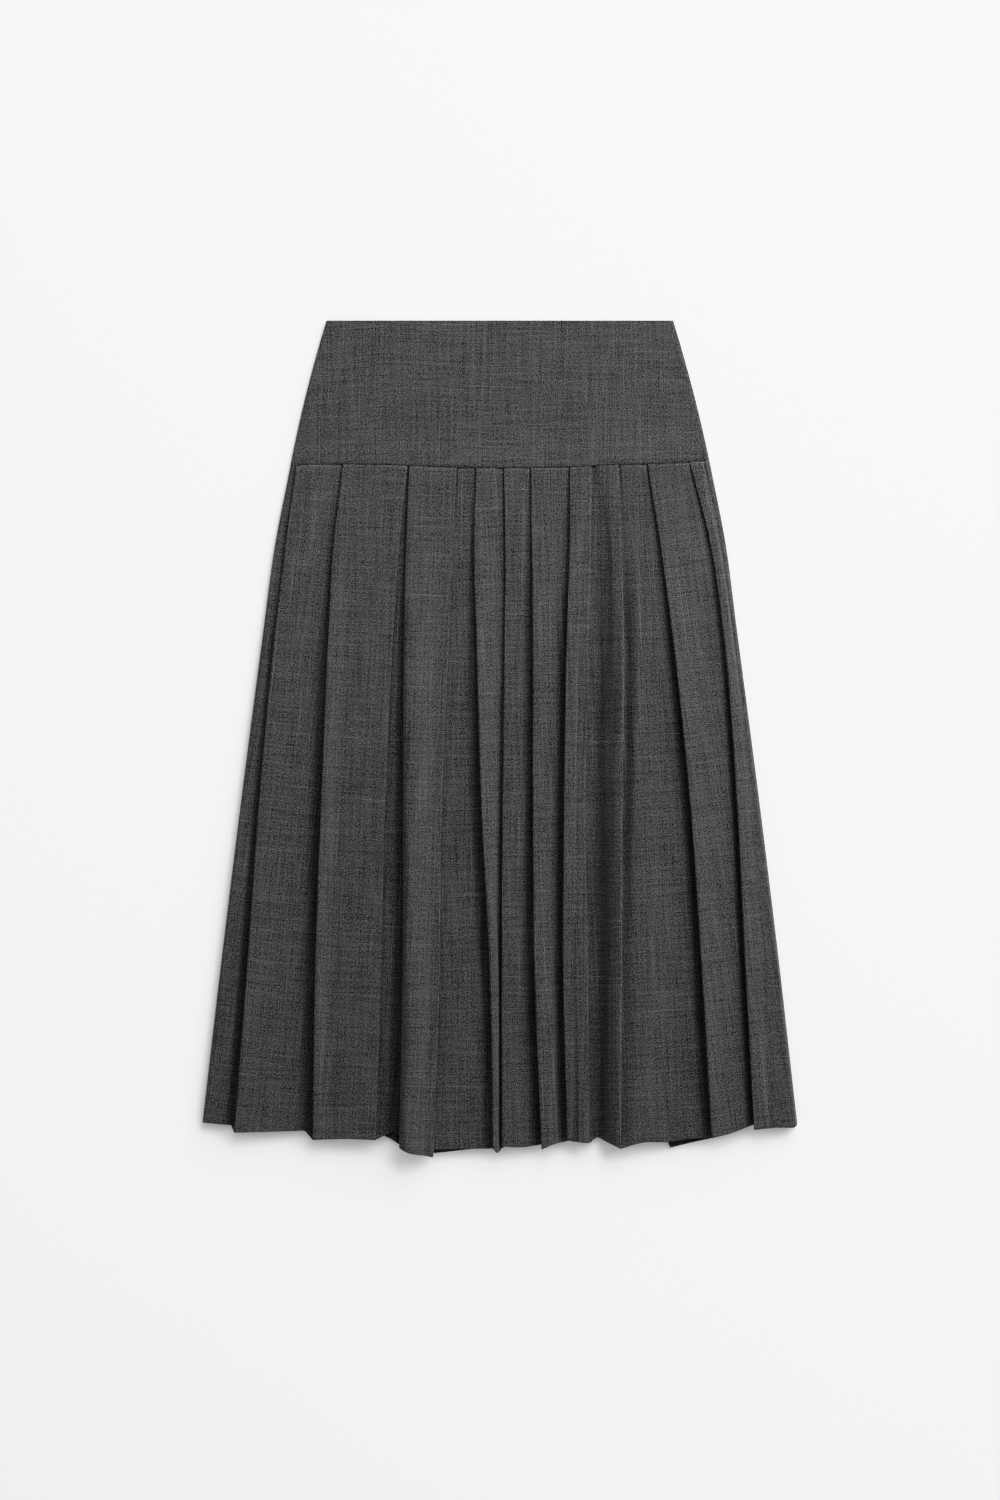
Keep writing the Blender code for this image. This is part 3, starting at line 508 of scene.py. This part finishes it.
def makeCloth(name, middle, grain, outwards, material):
    # a closed thin shell: the loop of rows is joined to itself, and its two ends are closed by strips
    rows, columns, _ = middle.shape
    rim = len(clothMesh["rimAngles"])
    middle = middle.copy()
    middle[..., :2] *= 1.0 - middle[..., 2:] / form["viewHeight"]
    loop = shellPoints(middle, outwards, form["wall"]) * mm
    count = loop.shape[0]
    index = np.arange(count * columns).reshape(count, columns)
    below = np.roll(index, -1, axis=0)
    quads = np.stack([index[:, :-1], below[:, :-1], below[:, 1:], index[:, 1:]], axis=-1).reshape(-1, 4)

    # each corner's place on the flat cloth
    down = np.arange(rows)
    onMiddle = np.concatenate([down, np.full(rim, rows - 1), down[::-1], np.zeros(rim, int)])
    following = np.roll(onMiddle, -1)
    row = np.stack([onMiddle, following, following, onMiddle], axis=-1)[:, None, :]
    column = np.arange(columns - 1)[None, :, None] + np.array([0, 0, 1, 1])[None, None, :]
    row, column, face = np.broadcast_arrays(row, column, grain["face"][None, :-1, None])
    uv = np.stack(clothPlane(grain, row, column, face), axis=-1).reshape(-1, 4, 2)

    # the strips from the outer to the inner skin, and the tips at their ends
    inner = 2 * rows + rim - 1 - down
    strip = np.stack([down[:-1], inner[:-1], inner[1:], down[1:]], axis=-1)
    top = np.append(0, np.arange(count - 1, inner[0] - 1, -1))
    foot = np.append(rows - 1, np.arange(rows + rim, rows - 1, -1))
    ends = [index[strip, 0], index[strip, -1][:, ::-1]]
    tips = [index[top, 0], index[foot, 0], index[top, -1][::-1], index[foot, -1][::-1]]
    if outwards < 0:
        quads = quads[:, ::-1]
        uv = uv[:, ::-1]
        ends = [end[:, ::-1] for end in ends]
        tips = [tip[::-1] for tip in tips]
    faces = np.concatenate([quads] + ends).tolist() + [tip.tolist() for tip in tips]

    mesh = bpy.data.meshes.new(name)
    mesh.from_pydata(loop.reshape(-1, 3).tolist(), [], faces)
    coordinates = np.zeros((len(mesh.loops), 2), np.float32)
    coordinates[:len(quads) * 4] = uv.reshape(-1, 2)
    mesh.uv_layers.new(name="grain").data.foreach_set("uv", coordinates.ravel())
    mesh.update()
    mesh.shade_smooth()
    mesh.set_sharp_from_angle(angle=math.radians(clothMesh["sharpFrom"]))
    piece = bpy.data.objects.new(name, mesh)
    bpy.context.scene.collection.objects.link(piece)
    mesh.materials.append(material)
    triangles = sum(len(corners) - 2 for corners in faces)
    area = round(sum(polygon.area for polygon in mesh.polygons) / 2, 4)
    print("cloth:", name, len(mesh.vertices), "points,", triangles, "triangles,", area, "m2 a layer")
    return piece


# Waves down each face: share of the size, mm down and mm across for each radian, share of the face's phase
waves = [(1.0, 47.0, math.inf, 1.0), (0.6, 23.0, 61.0, 1.7), (0.5, 81.0, -37.0, 0.9)]
facePhase = 2.4               # radians from one face to the next
ridgeFade = 0.3               # share of a ridge's length over which each of its ends fades


def ripple(x, drop, face, size):
    # a sum of sines, each face with its own phase
    phase = facePhase * face[None, :]
    return size * sum(share * np.sin(drop / down + x / across + part * phase)
                      for share, down, across, part in waves)


def ridges(table, x, drop):
    # height times exp(-(distance across / half width) squared), faded at both ends of the line
    out = 0.0 * x
    for startX, startDrop, endX, endDrop, halfWidth, height in table:
        run = np.array([endX - startX, endDrop - startDrop], float)
        size = np.linalg.norm(run)
        along = ((x - startX) * run[0] + (drop - startDrop) * run[1]) / size**2
        across = ((x - startX) * run[1] - (drop - startDrop) * run[0]) / size
        ends = smoothStep(along / ridgeFade) * smoothStep((1 - along) / ridgeFade)
        out = out + height * np.exp(-(across / halfWidth)**2) * ends
    return out


rowSpacing = {
    "seam": [0.0, 0.0012, 0.003, 0.006, 0.011, 0.018],      # finer levels at the yoke seam
    "evenFrom": 0.028,
    "evenTo": 0.992,
    "hem": [0.997, 1.0],
}

front = {
    "rows": 96,
    # where the panel is bowed up further: number of the fold that it follows, how far left of it its top is,
    # at the levels its reach to the left, how full that side is (1 straight, 2 bowed) and its height,
    # and its reach to the right
    "swells": [
        (10, 0.0, (25.0, 25.0, 25.0, 21.0, 19.0, 24.0), (2.0, 2.0, 2.0, 2.0, 1.6, 1.1),
         (0.0, 2.2, 4.2, 5.0, 5.5, 6.0), 72.0),
        (3, -12.0, (12.0, 12.0, 12.0, 12.0, 12.0, 12.0), (1.6, 1.6, 1.6, 1.6, 1.6, 1.6),
         (0.0, 0.4, 1.6, 2.6, 3.0, 3.4), 26.0),
    ],
    "leftInset": 0.3,         # from the left roll to the first pleated column
    "rightInset": 0.8,        # from the last one to the right side seam
    "sideFade": 6.0,          # mm from both over which the relief begins
    "seamHeight": 1.9,        # of the single cloth between the folds, where the yoke holds them
    "seamHold": 0.025,        # share of the length over which it comes down
    "seamDip": 1.6,           # mm that the cloth sinks into the yoke seam
    "seamDipRun": 0.65,
    "ripple": 0.22,
    "rippleFrom": 0.1,        # share of the length over which the ripples begin
    # start x, start drop, end x, end drop, half width, height
    "ridges": [
        (137, 690, 139, 840, 1.2, -0.8),
    ],
}

back = {
    "rows": 50,
    "inset": 2.0,             # from the left seam and the right roll to the pleated columns
    "rolledPoints": 25,       # columns from the right roll to the seam
}


def rowLevels(count):
    # even steps down the skirt, with a few finer ones at the yoke seam and the hem
    even = np.linspace(rowSpacing["evenFrom"], rowSpacing["evenTo"], count)
    return np.concatenate([rowSpacing["seam"], even, rowSpacing["hem"]])


def placeRows(x, hem, level):
    # each column starts at the yoke seam and runs down to its own hem
    start = seamDrop(x[0])[None, :]
    return start, start + level[:, None] * (hem - start)


def seamRest(level):
    # height between the folds: that at the seam times exp(-level / hold)
    return front["seamHeight"] * np.exp(-level / front["seamHold"])


def swell(level, x, table):
    # from nothing at either reach up to the height at the fold: 1 - share^fullness on its left,
    # a smooth step on its right
    out = 0.0 * x
    for fold, offset, reaches, fullness, heights, rightReach in table:
        place, reach, full, height = (smoothCurve(levels, values, level)[:, None]
                                      for values in (frontFolds[fold][1], reaches, fullness, heights))
        away = x - place + offset
        left = 1.0 - np.clip(-away / reach, 0.0, 1.0)**full
        out = out + height * np.where(away < 0.0, left, smoothStep(1.0 - away / rightReach))
    return out


def frontCloth():
    # from the left seam on the underside, round the left roll and across all faces to the right side seam
    level = rowLevels(front["rows"])
    lift = smoothCurve(levels, frontLift, level)
    rests = seamRest(level)
    endRise = smoothCurve(levels, rightLift, level)
    leftHem, rightHem = frontFaces[0][0][0], frontFaces[-1][0][-1]
    turn, sideX, sideZ = sideRoll(smoothCurve(levels, leftEdge, level), -1.0, form["sideRadius"] + 0.5 * lift)
    seam = rightSeam(level) - form["sewnGap"] / 2.0
    x, z, hem, face, free = pleatedSection(frontFolds, frontFaces, level, turn + front["leftInset"],
                                           seam - front["rightInset"], rests, endRise)
    turn, seam = turn[:, None], seam[:, None]
    inside = smoothStep((x - turn) / front["sideFade"]) * smoothStep((seam - x) / front["sideFade"])
    z = z + swell(level, x, front["swells"])
    z = z - rests[:, None] * (1.0 - inside) * free
    under = turn + form["leftSeamInset"] - halfWall - form["leftReach"]
    top = form["frontMid"] + lift[:, None]
    x = np.hstack([under, sideX, x, seam])
    z = np.hstack([0 * under + form["floorMid"], sideZ, top + z, top + (rests + endRise)[:, None]])
    hem = np.hstack([0 * under + leftHem, 0 * sideX + leftHem, hem, 0 * under + rightHem])
    face = np.concatenate([np.zeros(1 + sideX.shape[1], int), face, [len(frontFaces) - 1]])
    free = np.hstack([0 * under, 0 * sideX, free, 0 * under])
    start, drop = placeRows(x, hem, level)

    # only the upper side sinks into the seam and ripples
    upper = smoothStep((x - turn) / front["sideFade"])
    upper[:, :1 + sideX.shape[1]] = 0.0
    z = z - upper * front["seamDip"] * np.exp(-(drop - start) / front["seamDipRun"])
    soft = ripple(x, drop, face, front["ripple"]) + ridges(front["ridges"], x, drop)
    z = z + soft * free * smoothStep(level / front["rippleFrom"])[:, None]
    return np.stack([x, form["length"] / 2.0 - drop, z], axis=-1), face


def backCloth():
    # from the left seam across the underside, round the right roll and back in to the right side seam
    level = rowLevels(back["rows"])
    lift = smoothCurve(levels, frontLift, level) + smoothCurve(levels, rightLift, level)
    begin = smoothCurve(levels, leftEdge, level) + form["leftSeamInset"] + form["seamGap"]
    turn, sideX, sideZ = sideRoll(smoothCurve(levels, rightEdge, level), 1.0, form["sideRadius"] + 0.5 * lift)
    x, z, hem, face, _ = pleatedSection(backFolds, backFaces, level, begin + back["inset"],
                                        turn - back["inset"], stack)
    begin = begin[:, None]
    seam = (rightSeam(level) + form["sewnGap"] / 2.0)[:, None]
    u = np.linspace(0.0, 1.0, back["rolledPoints"])[None, 1:]
    rolledX = sideX[:, -1:] + (seam - sideX[:, -1:]) * u
    rolledZ = form["frontMid"] + lift[:, None] + seamRest(level)[:, None] * smoothStep(u)

    # the hem's corner is a quarter circle, which the underside of the roll runs up to
    low, high = backFaces[-1][0][-1], frontFaces[-1][0][-1]
    upX = np.hstack([sideX, rolledX])
    short = np.clip(1.0 - (rightEdge[-1] - upX[-1:]) / (high - low), 0.0, 1.0)
    corner = high - (high - low) * (1.0 - np.sqrt(1.0 - short**2))
    up = smoothStep(2.0 * np.arange(upX.shape[1]) / (sideX.shape[1] - 1))
    upHem = low + (corner - low) * up + 0.0 * seam
    x = np.hstack([begin, x, upX])
    z = np.hstack([0 * begin + form["floorMid"], backMid - z, sideZ, rolledZ])
    hem = np.hstack([0 * begin + backFaces[0][0][0], hem, upHem])
    face = np.concatenate([[0], face, np.full(upX.shape[1], len(backFaces) - 1)])
    _, drop = placeRows(x, hem, level)
    return np.stack([x, form["length"] / 2.0 - drop, z], axis=-1), face


yoke = {
    "rows": 64,
    "columns": 150,
    "backColumns": 60,
    "fineRows": (0.0, 0.004, 0.012),      # at the waist, and the same at the yoke seam
    "evenFrom": 0.025,
    "ramp": 2.0,              # rise of the lower edge on to the pleats
    "rampLength": 40.0,
    "rampClear": 6.0,         # distance from the side edges at which it begins
    "rampInset": 26.0,
    "topRise": 0.8,           # mm that its upper edge is over the waist line
    "rightSeamInset": (5.2, 3.6),
    "hemDip": 1.2,            # mm that the lower edge turns down at the seam
    "hemDipRun": 0.7,
    "bow": 0.0004,            # how the crosswise threads droop left of bowFrom, by mm squared
    "bowFrom": -80.0,
    "ridges": [
        (-176, 62, -120, 44, 9.0, 0.5),
        (-172, 88, -112, 72, 8.0, 0.5),
        (-188, 112, -128, 100, 9.0, 0.4),
        (150, 30, 172, 92, 10.0, 0.4),
    ],
}


def yokeSeam(half, drop):
    # where the right side seam runs: the half width less an inset that changes evenly down the yoke
    top, low = yoke["rightSeamInset"]
    return half - (top + (low - top) * drop / seamDrop(0.0))


def yokeCloth(side):
    # columns across and round one side edge; every row is a share of the way from the waist to the seam
    fine = np.array(yoke["fineRows"])
    even = np.linspace(yoke["evenFrom"], 1.0 - yoke["evenFrom"], yoke["rows"])
    share = np.concatenate([fine, even, 1.0 - fine[::-1]])[:, None]
    middleDrop = share * (seamDrop(0.0) - form["seamGap"])
    half = yokeHalf(middleDrop)
    turn, sideX, sideZ = sideRoll(-side * half[:, 0], -side, np.full(len(share), form["sideRadius"]))
    turn = turn[:, None]
    seam = yokeSeam(half, middleDrop) - side * form["sewnGap"] / 2.0
    if side > 0:
        flat = turn + (seam - turn) * np.linspace(0.0, 1.0, yoke["columns"])[None, 1:]
        x = np.hstack([-half + form["leftSeamInset"], sideX, flat])
    else:
        begin = -half + form["leftSeamInset"] + form["seamGap"]
        flat = begin + (turn - begin) * np.linspace(0.0, 1.0, yoke["backColumns"])[None, :-1]
        x = np.hstack([flat, sideX, seam])
    edge = seamDrop(x) - form["seamGap"]
    drop = share * edge - (1.0 - share) * yoke["topRise"]
    if side > 0:
        ramp = smoothStep((drop - (seamDrop(x) - yoke["rampLength"])) / yoke["rampLength"])
        inside = smoothStep((yokeHalf(drop) - np.abs(x) - yoke["rampClear"]) / yoke["rampInset"])
        top = form["frontMid"] + yoke["ramp"] * ramp * inside
        top = top + ridges(yoke["ridges"], x, drop) * inside
        top = top - yoke["hemDip"] * np.exp(-(edge - drop) / yoke["hemDipRun"])
        z = np.hstack([0 * half + form["floorMid"], sideZ, top[:, 1 + sideX.shape[1]:]])
    else:
        z = np.hstack([0 * flat + form["floorMid"], sideZ, 0 * half + form["frontMid"]])
    return np.stack([x, form["length"] / 2.0 - drop, z], axis=-1), np.zeros(x.shape[1], int)


# Charcoal melange suiting
wool = {
    "colour": (0.055, 0.055, 0.0556),
    "threadWidth": 0.85,      # mm across the threads that stand out
    "warpLength": 70.0,       # mm along the uneven stretches of a thread
    "weftLength": 50.0,
    "stagger": 9.0,           # how far each thread's stretches are set off from its neighbours'
    "warpContrast": 0.45,
    "weftContrast": 0.43,
    "mottle": 0.05,           # slow lighter and darker patches
    "patchSize": 45.0,        # mm
    "patchDetail": 1.0,
    "patchShift": 1.9,
    "paintedHemShade": 0.055,        # painted shade: how much darker the panels are made towards the hem, standing in for the light that falls off there
    "paintedShadeFrom": 0.15,        # m above the garment's middle, where that painted shade begins
    "paintedShadeRun": 0.45,
    "gritSize": 1.2,          # mm
    "grit": 2.35,             # fibre by fibre
    "gritDetail": 1.0,
    "gritRoughness": 0.8,
    "gritShift": 3.1,
    "slub": 4.0,              # rare thick light threads: how fast they grow past the noise that they begin at
    "slubFrom": 0.68,
    "slubWidth": 0.8,         # mm
    "slubStretch": 2.0,       # their length, in lengths of the other threads
    "slubLean": 1.3,
    "darkest": 0.12,          # least factor on the colour
    "bumpHeight": 0.03,       # mm
    "gritBump": 0.7,          # the grit's share of it
    "roughness": 0.88,
    "specular": 0.25,
    "sheen": 0.12,
    "sheenRoughness": 0.5,
}


class Nodes:
    # short ways to add shader nodes to one material
    def __init__(self, name):
        self.material = bpy.data.materials.new(name)
        self.material.use_nodes = True
        self.tree = self.material.node_tree
        self.shader = self.tree.nodes["Principled BSDF"]

    def add(self, kind, **inputs):
        node = self.tree.nodes.new(kind)
        for key, value in inputs.items():
            self.put(node, key, value)
        return node

    def put(self, node, key, value):
        # a key such as i0 is the number of an input, any other its name
        socket = node.inputs[int(key[1:])] if key[0] == "i" and key[1:].isdigit() else node.inputs[key]
        if isinstance(value, bpy.types.NodeSocket):
            self.tree.links.new(value, socket)
        else:
            socket.default_value = value

    def math(self, operation, a, b=0.0):
        node = self.tree.nodes.new("ShaderNodeMath")
        node.operation = operation
        self.put(node, "i0", a)
        self.put(node, "i1", b)
        return node.outputs[0]

    def noise(self, vector, detail, scale=1.0, roughness=0.5):
        return self.add("ShaderNodeTexNoise", Vector=vector, Scale=scale, Detail=detail,
                        Roughness=roughness).outputs["Fac"]

    def stretched(self, vector, sx, sy, offset=0.0):
        node = self.add("ShaderNodeMapping", Vector=vector)
        node.inputs["Scale"].default_value = (sx, sy, 1.0)
        node.inputs["Location"].default_value = (offset, offset, offset)
        return node.outputs[0]

    def objectPlace(self):
        return self.tree.nodes.new("ShaderNodeTexCoord").outputs["Object"]

    def grey(self, tone):
        return self.add("ShaderNodeCombineColor", Red=tone, Green=tone, Blue=tone).outputs[0]


def woolMaterial(name):
    # colour = charcoal x (1 + warp threads + weft threads + grit + patches + slubs) x (1 - painted hem
    # shade), each a noise stretched its own way; the same threads raise the surface; the painted hem shade
    # darkens the cloth towards the hem, standing in for the light falling off there
    n = Nodes(name)
    at = n.tree.nodes.new("ShaderNodeUVMap")
    at.uv_map = "grain"
    at = at.outputs[0]
    place = n.add("ShaderNodeSeparateXYZ", Vector=at)
    u, v = place.outputs["X"], place.outputs["Y"]
    perMetre = 1.0 / mm

    def threads(across, along, width, length, side):
        # noise drawn out along the threads, each thread's stretches set off from its neighbours'
        slide = n.math("MULTIPLY", across, side * wool["stagger"])
        ends = n.math("MULTIPLY", n.math("ADD", along, slide), perMetre / length)
        steps = n.math("MULTIPLY", across, perMetre / width)
        return n.noise(n.add("ShaderNodeCombineXYZ", X=steps, Y=ends, Z=side * width).outputs[0], 0.0)

    def swing(noise, amount):
        # from -amount to +amount as the noise goes from 0 to 1
        return n.math("MULTIPLY", n.math("SUBTRACT", noise, 0.5), 2.0 * amount)

    def rareThreads(noise):
        # nothing up to slubFrom, then rising
        over = n.math("MAXIMUM", n.math("SUBTRACT", noise, wool["slubFrom"]), 0.0)
        return n.math("MULTIPLY", over, wool["slub"])

    warp = threads(u, v, wool["threadWidth"], wool["warpLength"], 1.0)
    weft = threads(v, u, wool["threadWidth"], wool["weftLength"], -1.0)
    warpSlub = threads(u, v, wool["slubWidth"], wool["slubStretch"] * wool["warpLength"], -wool["slubLean"])
    weftSlub = threads(v, u, wool["slubWidth"], wool["slubStretch"] * wool["weftLength"], wool["slubLean"])
    fine = perMetre / wool["gritSize"]
    inGrains = n.stretched(at, fine, fine, wool["gritShift"])
    grit = n.noise(inGrains, wool["gritDetail"], 1.0, wool["gritRoughness"])
    inMm = n.stretched(at, perMetre, perMetre, wool["patchShift"])
    patch = n.noise(inMm, wool["patchDetail"], 1.0 / wool["patchSize"])
    total = n.math("ADD", swing(warp, wool["warpContrast"]), swing(weft, wool["weftContrast"]))
    total = n.math("ADD", total, swing(grit, wool["grit"]))
    total = n.math("ADD", total, swing(patch, wool["mottle"]))
    total = n.math("ADD", total, n.math("ADD", rareThreads(warpSlub), rareThreads(weftSlub)))
    factor = n.math("MAXIMUM", n.math("ADD", total, 1.0), wool["darkest"])
    # painted shade: the cloth is made darker towards the hem, where the light falls off
    down = n.math("DIVIDE", n.math("SUBTRACT", wool["paintedShadeFrom"], v), wool["paintedShadeRun"])
    down = n.math("MINIMUM", n.math("MAXIMUM", down, 0.0), 1.0)
    factor = n.math("MULTIPLY", factor, n.math("SUBTRACT", 1.0, n.math("MULTIPLY", down, wool["paintedHemShade"])))
    colour = n.add("ShaderNodeVectorMath", i0=wool["colour"])
    colour.operation = "SCALE"
    n.put(colour, "Scale", factor)
    n.put(n.shader, "Base Color", colour.outputs[0])
    relief = n.math("ADD", n.math("ADD", warp, weft), n.math("MULTIPLY", grit, wool["gritBump"]))
    bump = n.add("ShaderNodeBump", Strength=1.0, Distance=wool["bumpHeight"] * mm, Height=relief)
    n.put(n.shader, "Normal", bump.outputs[0])
    n.put(n.shader, "Roughness", wool["roughness"])
    n.put(n.shader, "Specular IOR Level", wool["specular"])
    n.put(n.shader, "Sheen Weight", wool["sheen"])
    n.put(n.shader, "Sheen Roughness", wool["sheenRoughness"])
    return n.material


def dress(name, cloth, tilts, outwards, finish, bow=0.0):
    # one piece of cloth from its middle surface, threads and finish
    middle, face = cloth
    return makeCloth(name, middle, grainMap(middle, face, tilts, bow), outwards, woolMaterial(finish))


frontTilts = [tilt for _, tilt, _ in frontFaces]
backTilts = [tilt for _, tilt, _ in backFaces]
skirtFront = dress("skirt_front_cloth", frontCloth(), frontTilts, 1.0, "wool_front")
skirtBack = dress("skirt_back_cloth", backCloth(), backTilts, -1.0, "wool_back")
yokeTop = yokeCloth(1.0)
bow = yoke["bow"] * np.maximum(0.0, yoke["bowFrom"] - yokeTop[0][..., 0])**2
yokeFront = dress("yoke_front_cloth", yokeTop, [0.0], 1.0, "wool_yoke", bow)
yokeBack = dress("yoke_back_cloth", yokeCloth(-1.0), [0.0], -1.0, "wool_yoke_back")

for piece, node in ((skirtFront, "skirt_front"), (skirtBack, "skirt_back"),
                    (yokeFront, "yoke_front"), (yokeBack, "yoke_back")):
    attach(piece, "root")
    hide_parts(node)

print("stage: cloth ready")

# The zip keeps its plain solids, with a woven tape and a dark enamel
zipFinish = {
    "tapeThreads": (2500.0, 900.0),      # noise steps per m across and along
    "tapeDark": 0.03,
    "tapeSwing": 0.03,
    "tapeRoughness": 0.8,
    "metalColour": (0.12, 0.12, 0.125, 1.0),
    "metalness": 0.9,
    "metalGrain": 400.0,      # noise steps per m
    "metalSmoothest": 0.25,
    "metalSwing": 0.2,
    "detail": 2.0,
}

tape = Nodes("zip_tape_finish")
tapeWeave = tape.noise(tape.stretched(tape.objectPlace(), *zipFinish["tapeThreads"]), zipFinish["detail"])
tapeTone = tape.math("ADD", tape.math("MULTIPLY", tapeWeave, zipFinish["tapeSwing"]), zipFinish["tapeDark"])
tape.put(tape.shader, "Base Color", tape.grey(tapeTone))
tape.put(tape.shader, "Roughness", zipFinish["tapeRoughness"])
metal = Nodes("zip_metal_finish")
metalGrain = metal.noise(metal.objectPlace(), zipFinish["detail"], zipFinish["metalGrain"])
metalTone = metal.math("ADD", metal.math("MULTIPLY", metalGrain, zipFinish["metalSwing"]),
                       zipFinish["metalSmoothest"])
metal.put(metal.shader, "Base Color", zipFinish["metalColour"])
metal.put(metal.shader, "Metallic", zipFinish["metalness"])
metal.put(metal.shader, "Roughness", metalTone)
for node, finish in (("side_zip", tape), ("zip_slider", metal)):
    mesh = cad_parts[node].data
    mesh.materials.clear()
    mesh.materials.append(finish.material)
print("stage: zip ready")

studio = {
    "floorSize": 24.0,
    "floorTone": 0.855,
    "cloudSwing": 0.01,       # slow lighter patches of the paper
    "cloudGrain": 3.0,        # its steps per m
    "cloudDetail": 2.0,
    "floorRoughness": 0.9,
    "floorSpecular": 0.1,
    "worldStrength": 0.75,
    "keyAt": (1.5, 1.95, 1.2),
    "keySize": 3.6,
    "keyPower": 200.0,
    "cameraHeight": 4.0,
    "frameHeight": 1.51298,   # m that the picture spans from top to bottom at frameLevel
    "frameLevel": 0.006,      # half way up the garment
    "frameCentre": (0.0001, -0.0106),
    "sight": 100.0,
}

bpy.ops.mesh.primitive_plane_add(size=studio["floorSize"], location=(0.0, 0.0, 0.0))
floor = bpy.context.object
floor.name = "floor"
paper = Nodes("paper")
cloud = paper.noise(paper.objectPlace(), studio["cloudDetail"], studio["cloudGrain"])
paperTone = paper.math("ADD", paper.math("MULTIPLY", cloud, studio["cloudSwing"]), studio["floorTone"])
paper.put(paper.shader, "Base Color", paper.grey(paperTone))
paper.put(paper.shader, "Roughness", studio["floorRoughness"])
paper.put(paper.shader, "Specular IOR Level", studio["floorSpecular"])
floor.data.materials.append(paper.material)

world = bpy.data.worlds.new("studio")
bpy.context.scene.world = world
world.use_nodes = True
sky = world.node_tree.nodes["Background"].inputs
sky["Color"].default_value = (1.0, 1.0, 1.0, 1.0)
sky["Strength"].default_value = studio["worldStrength"]

keyData = bpy.data.lights.new("key", "AREA")
keyData.size = studio["keySize"]
keyData.energy = studio["keyPower"]
key = bpy.data.objects.new("key", keyData)
bpy.context.scene.collection.objects.link(key)
key.location = studio["keyAt"]
key.visible_camera = False
aim = np.array(studio["keyAt"])
key.rotation_euler = (0.0, math.acos(aim[2] / np.linalg.norm(aim)), math.atan2(aim[1], aim[0]))

cameraData = bpy.data.cameras.new("camera")
cameraData.lens = cameraData.sensor_width * studio["cameraHeight"] / studio["frameHeight"]
cameraData.clip_end = studio["sight"]
camera = bpy.data.objects.new("camera", cameraData)
bpy.context.scene.collection.objects.link(camera)
camera.location = (*studio["frameCentre"], studio["frameLevel"] + studio["cameraHeight"])
bpy.context.scene.camera = camera

view = bpy.context.scene.view_settings
view.view_transform = "Khronos PBR Neutral"
view.look = "None"

print("stage: studio ready")
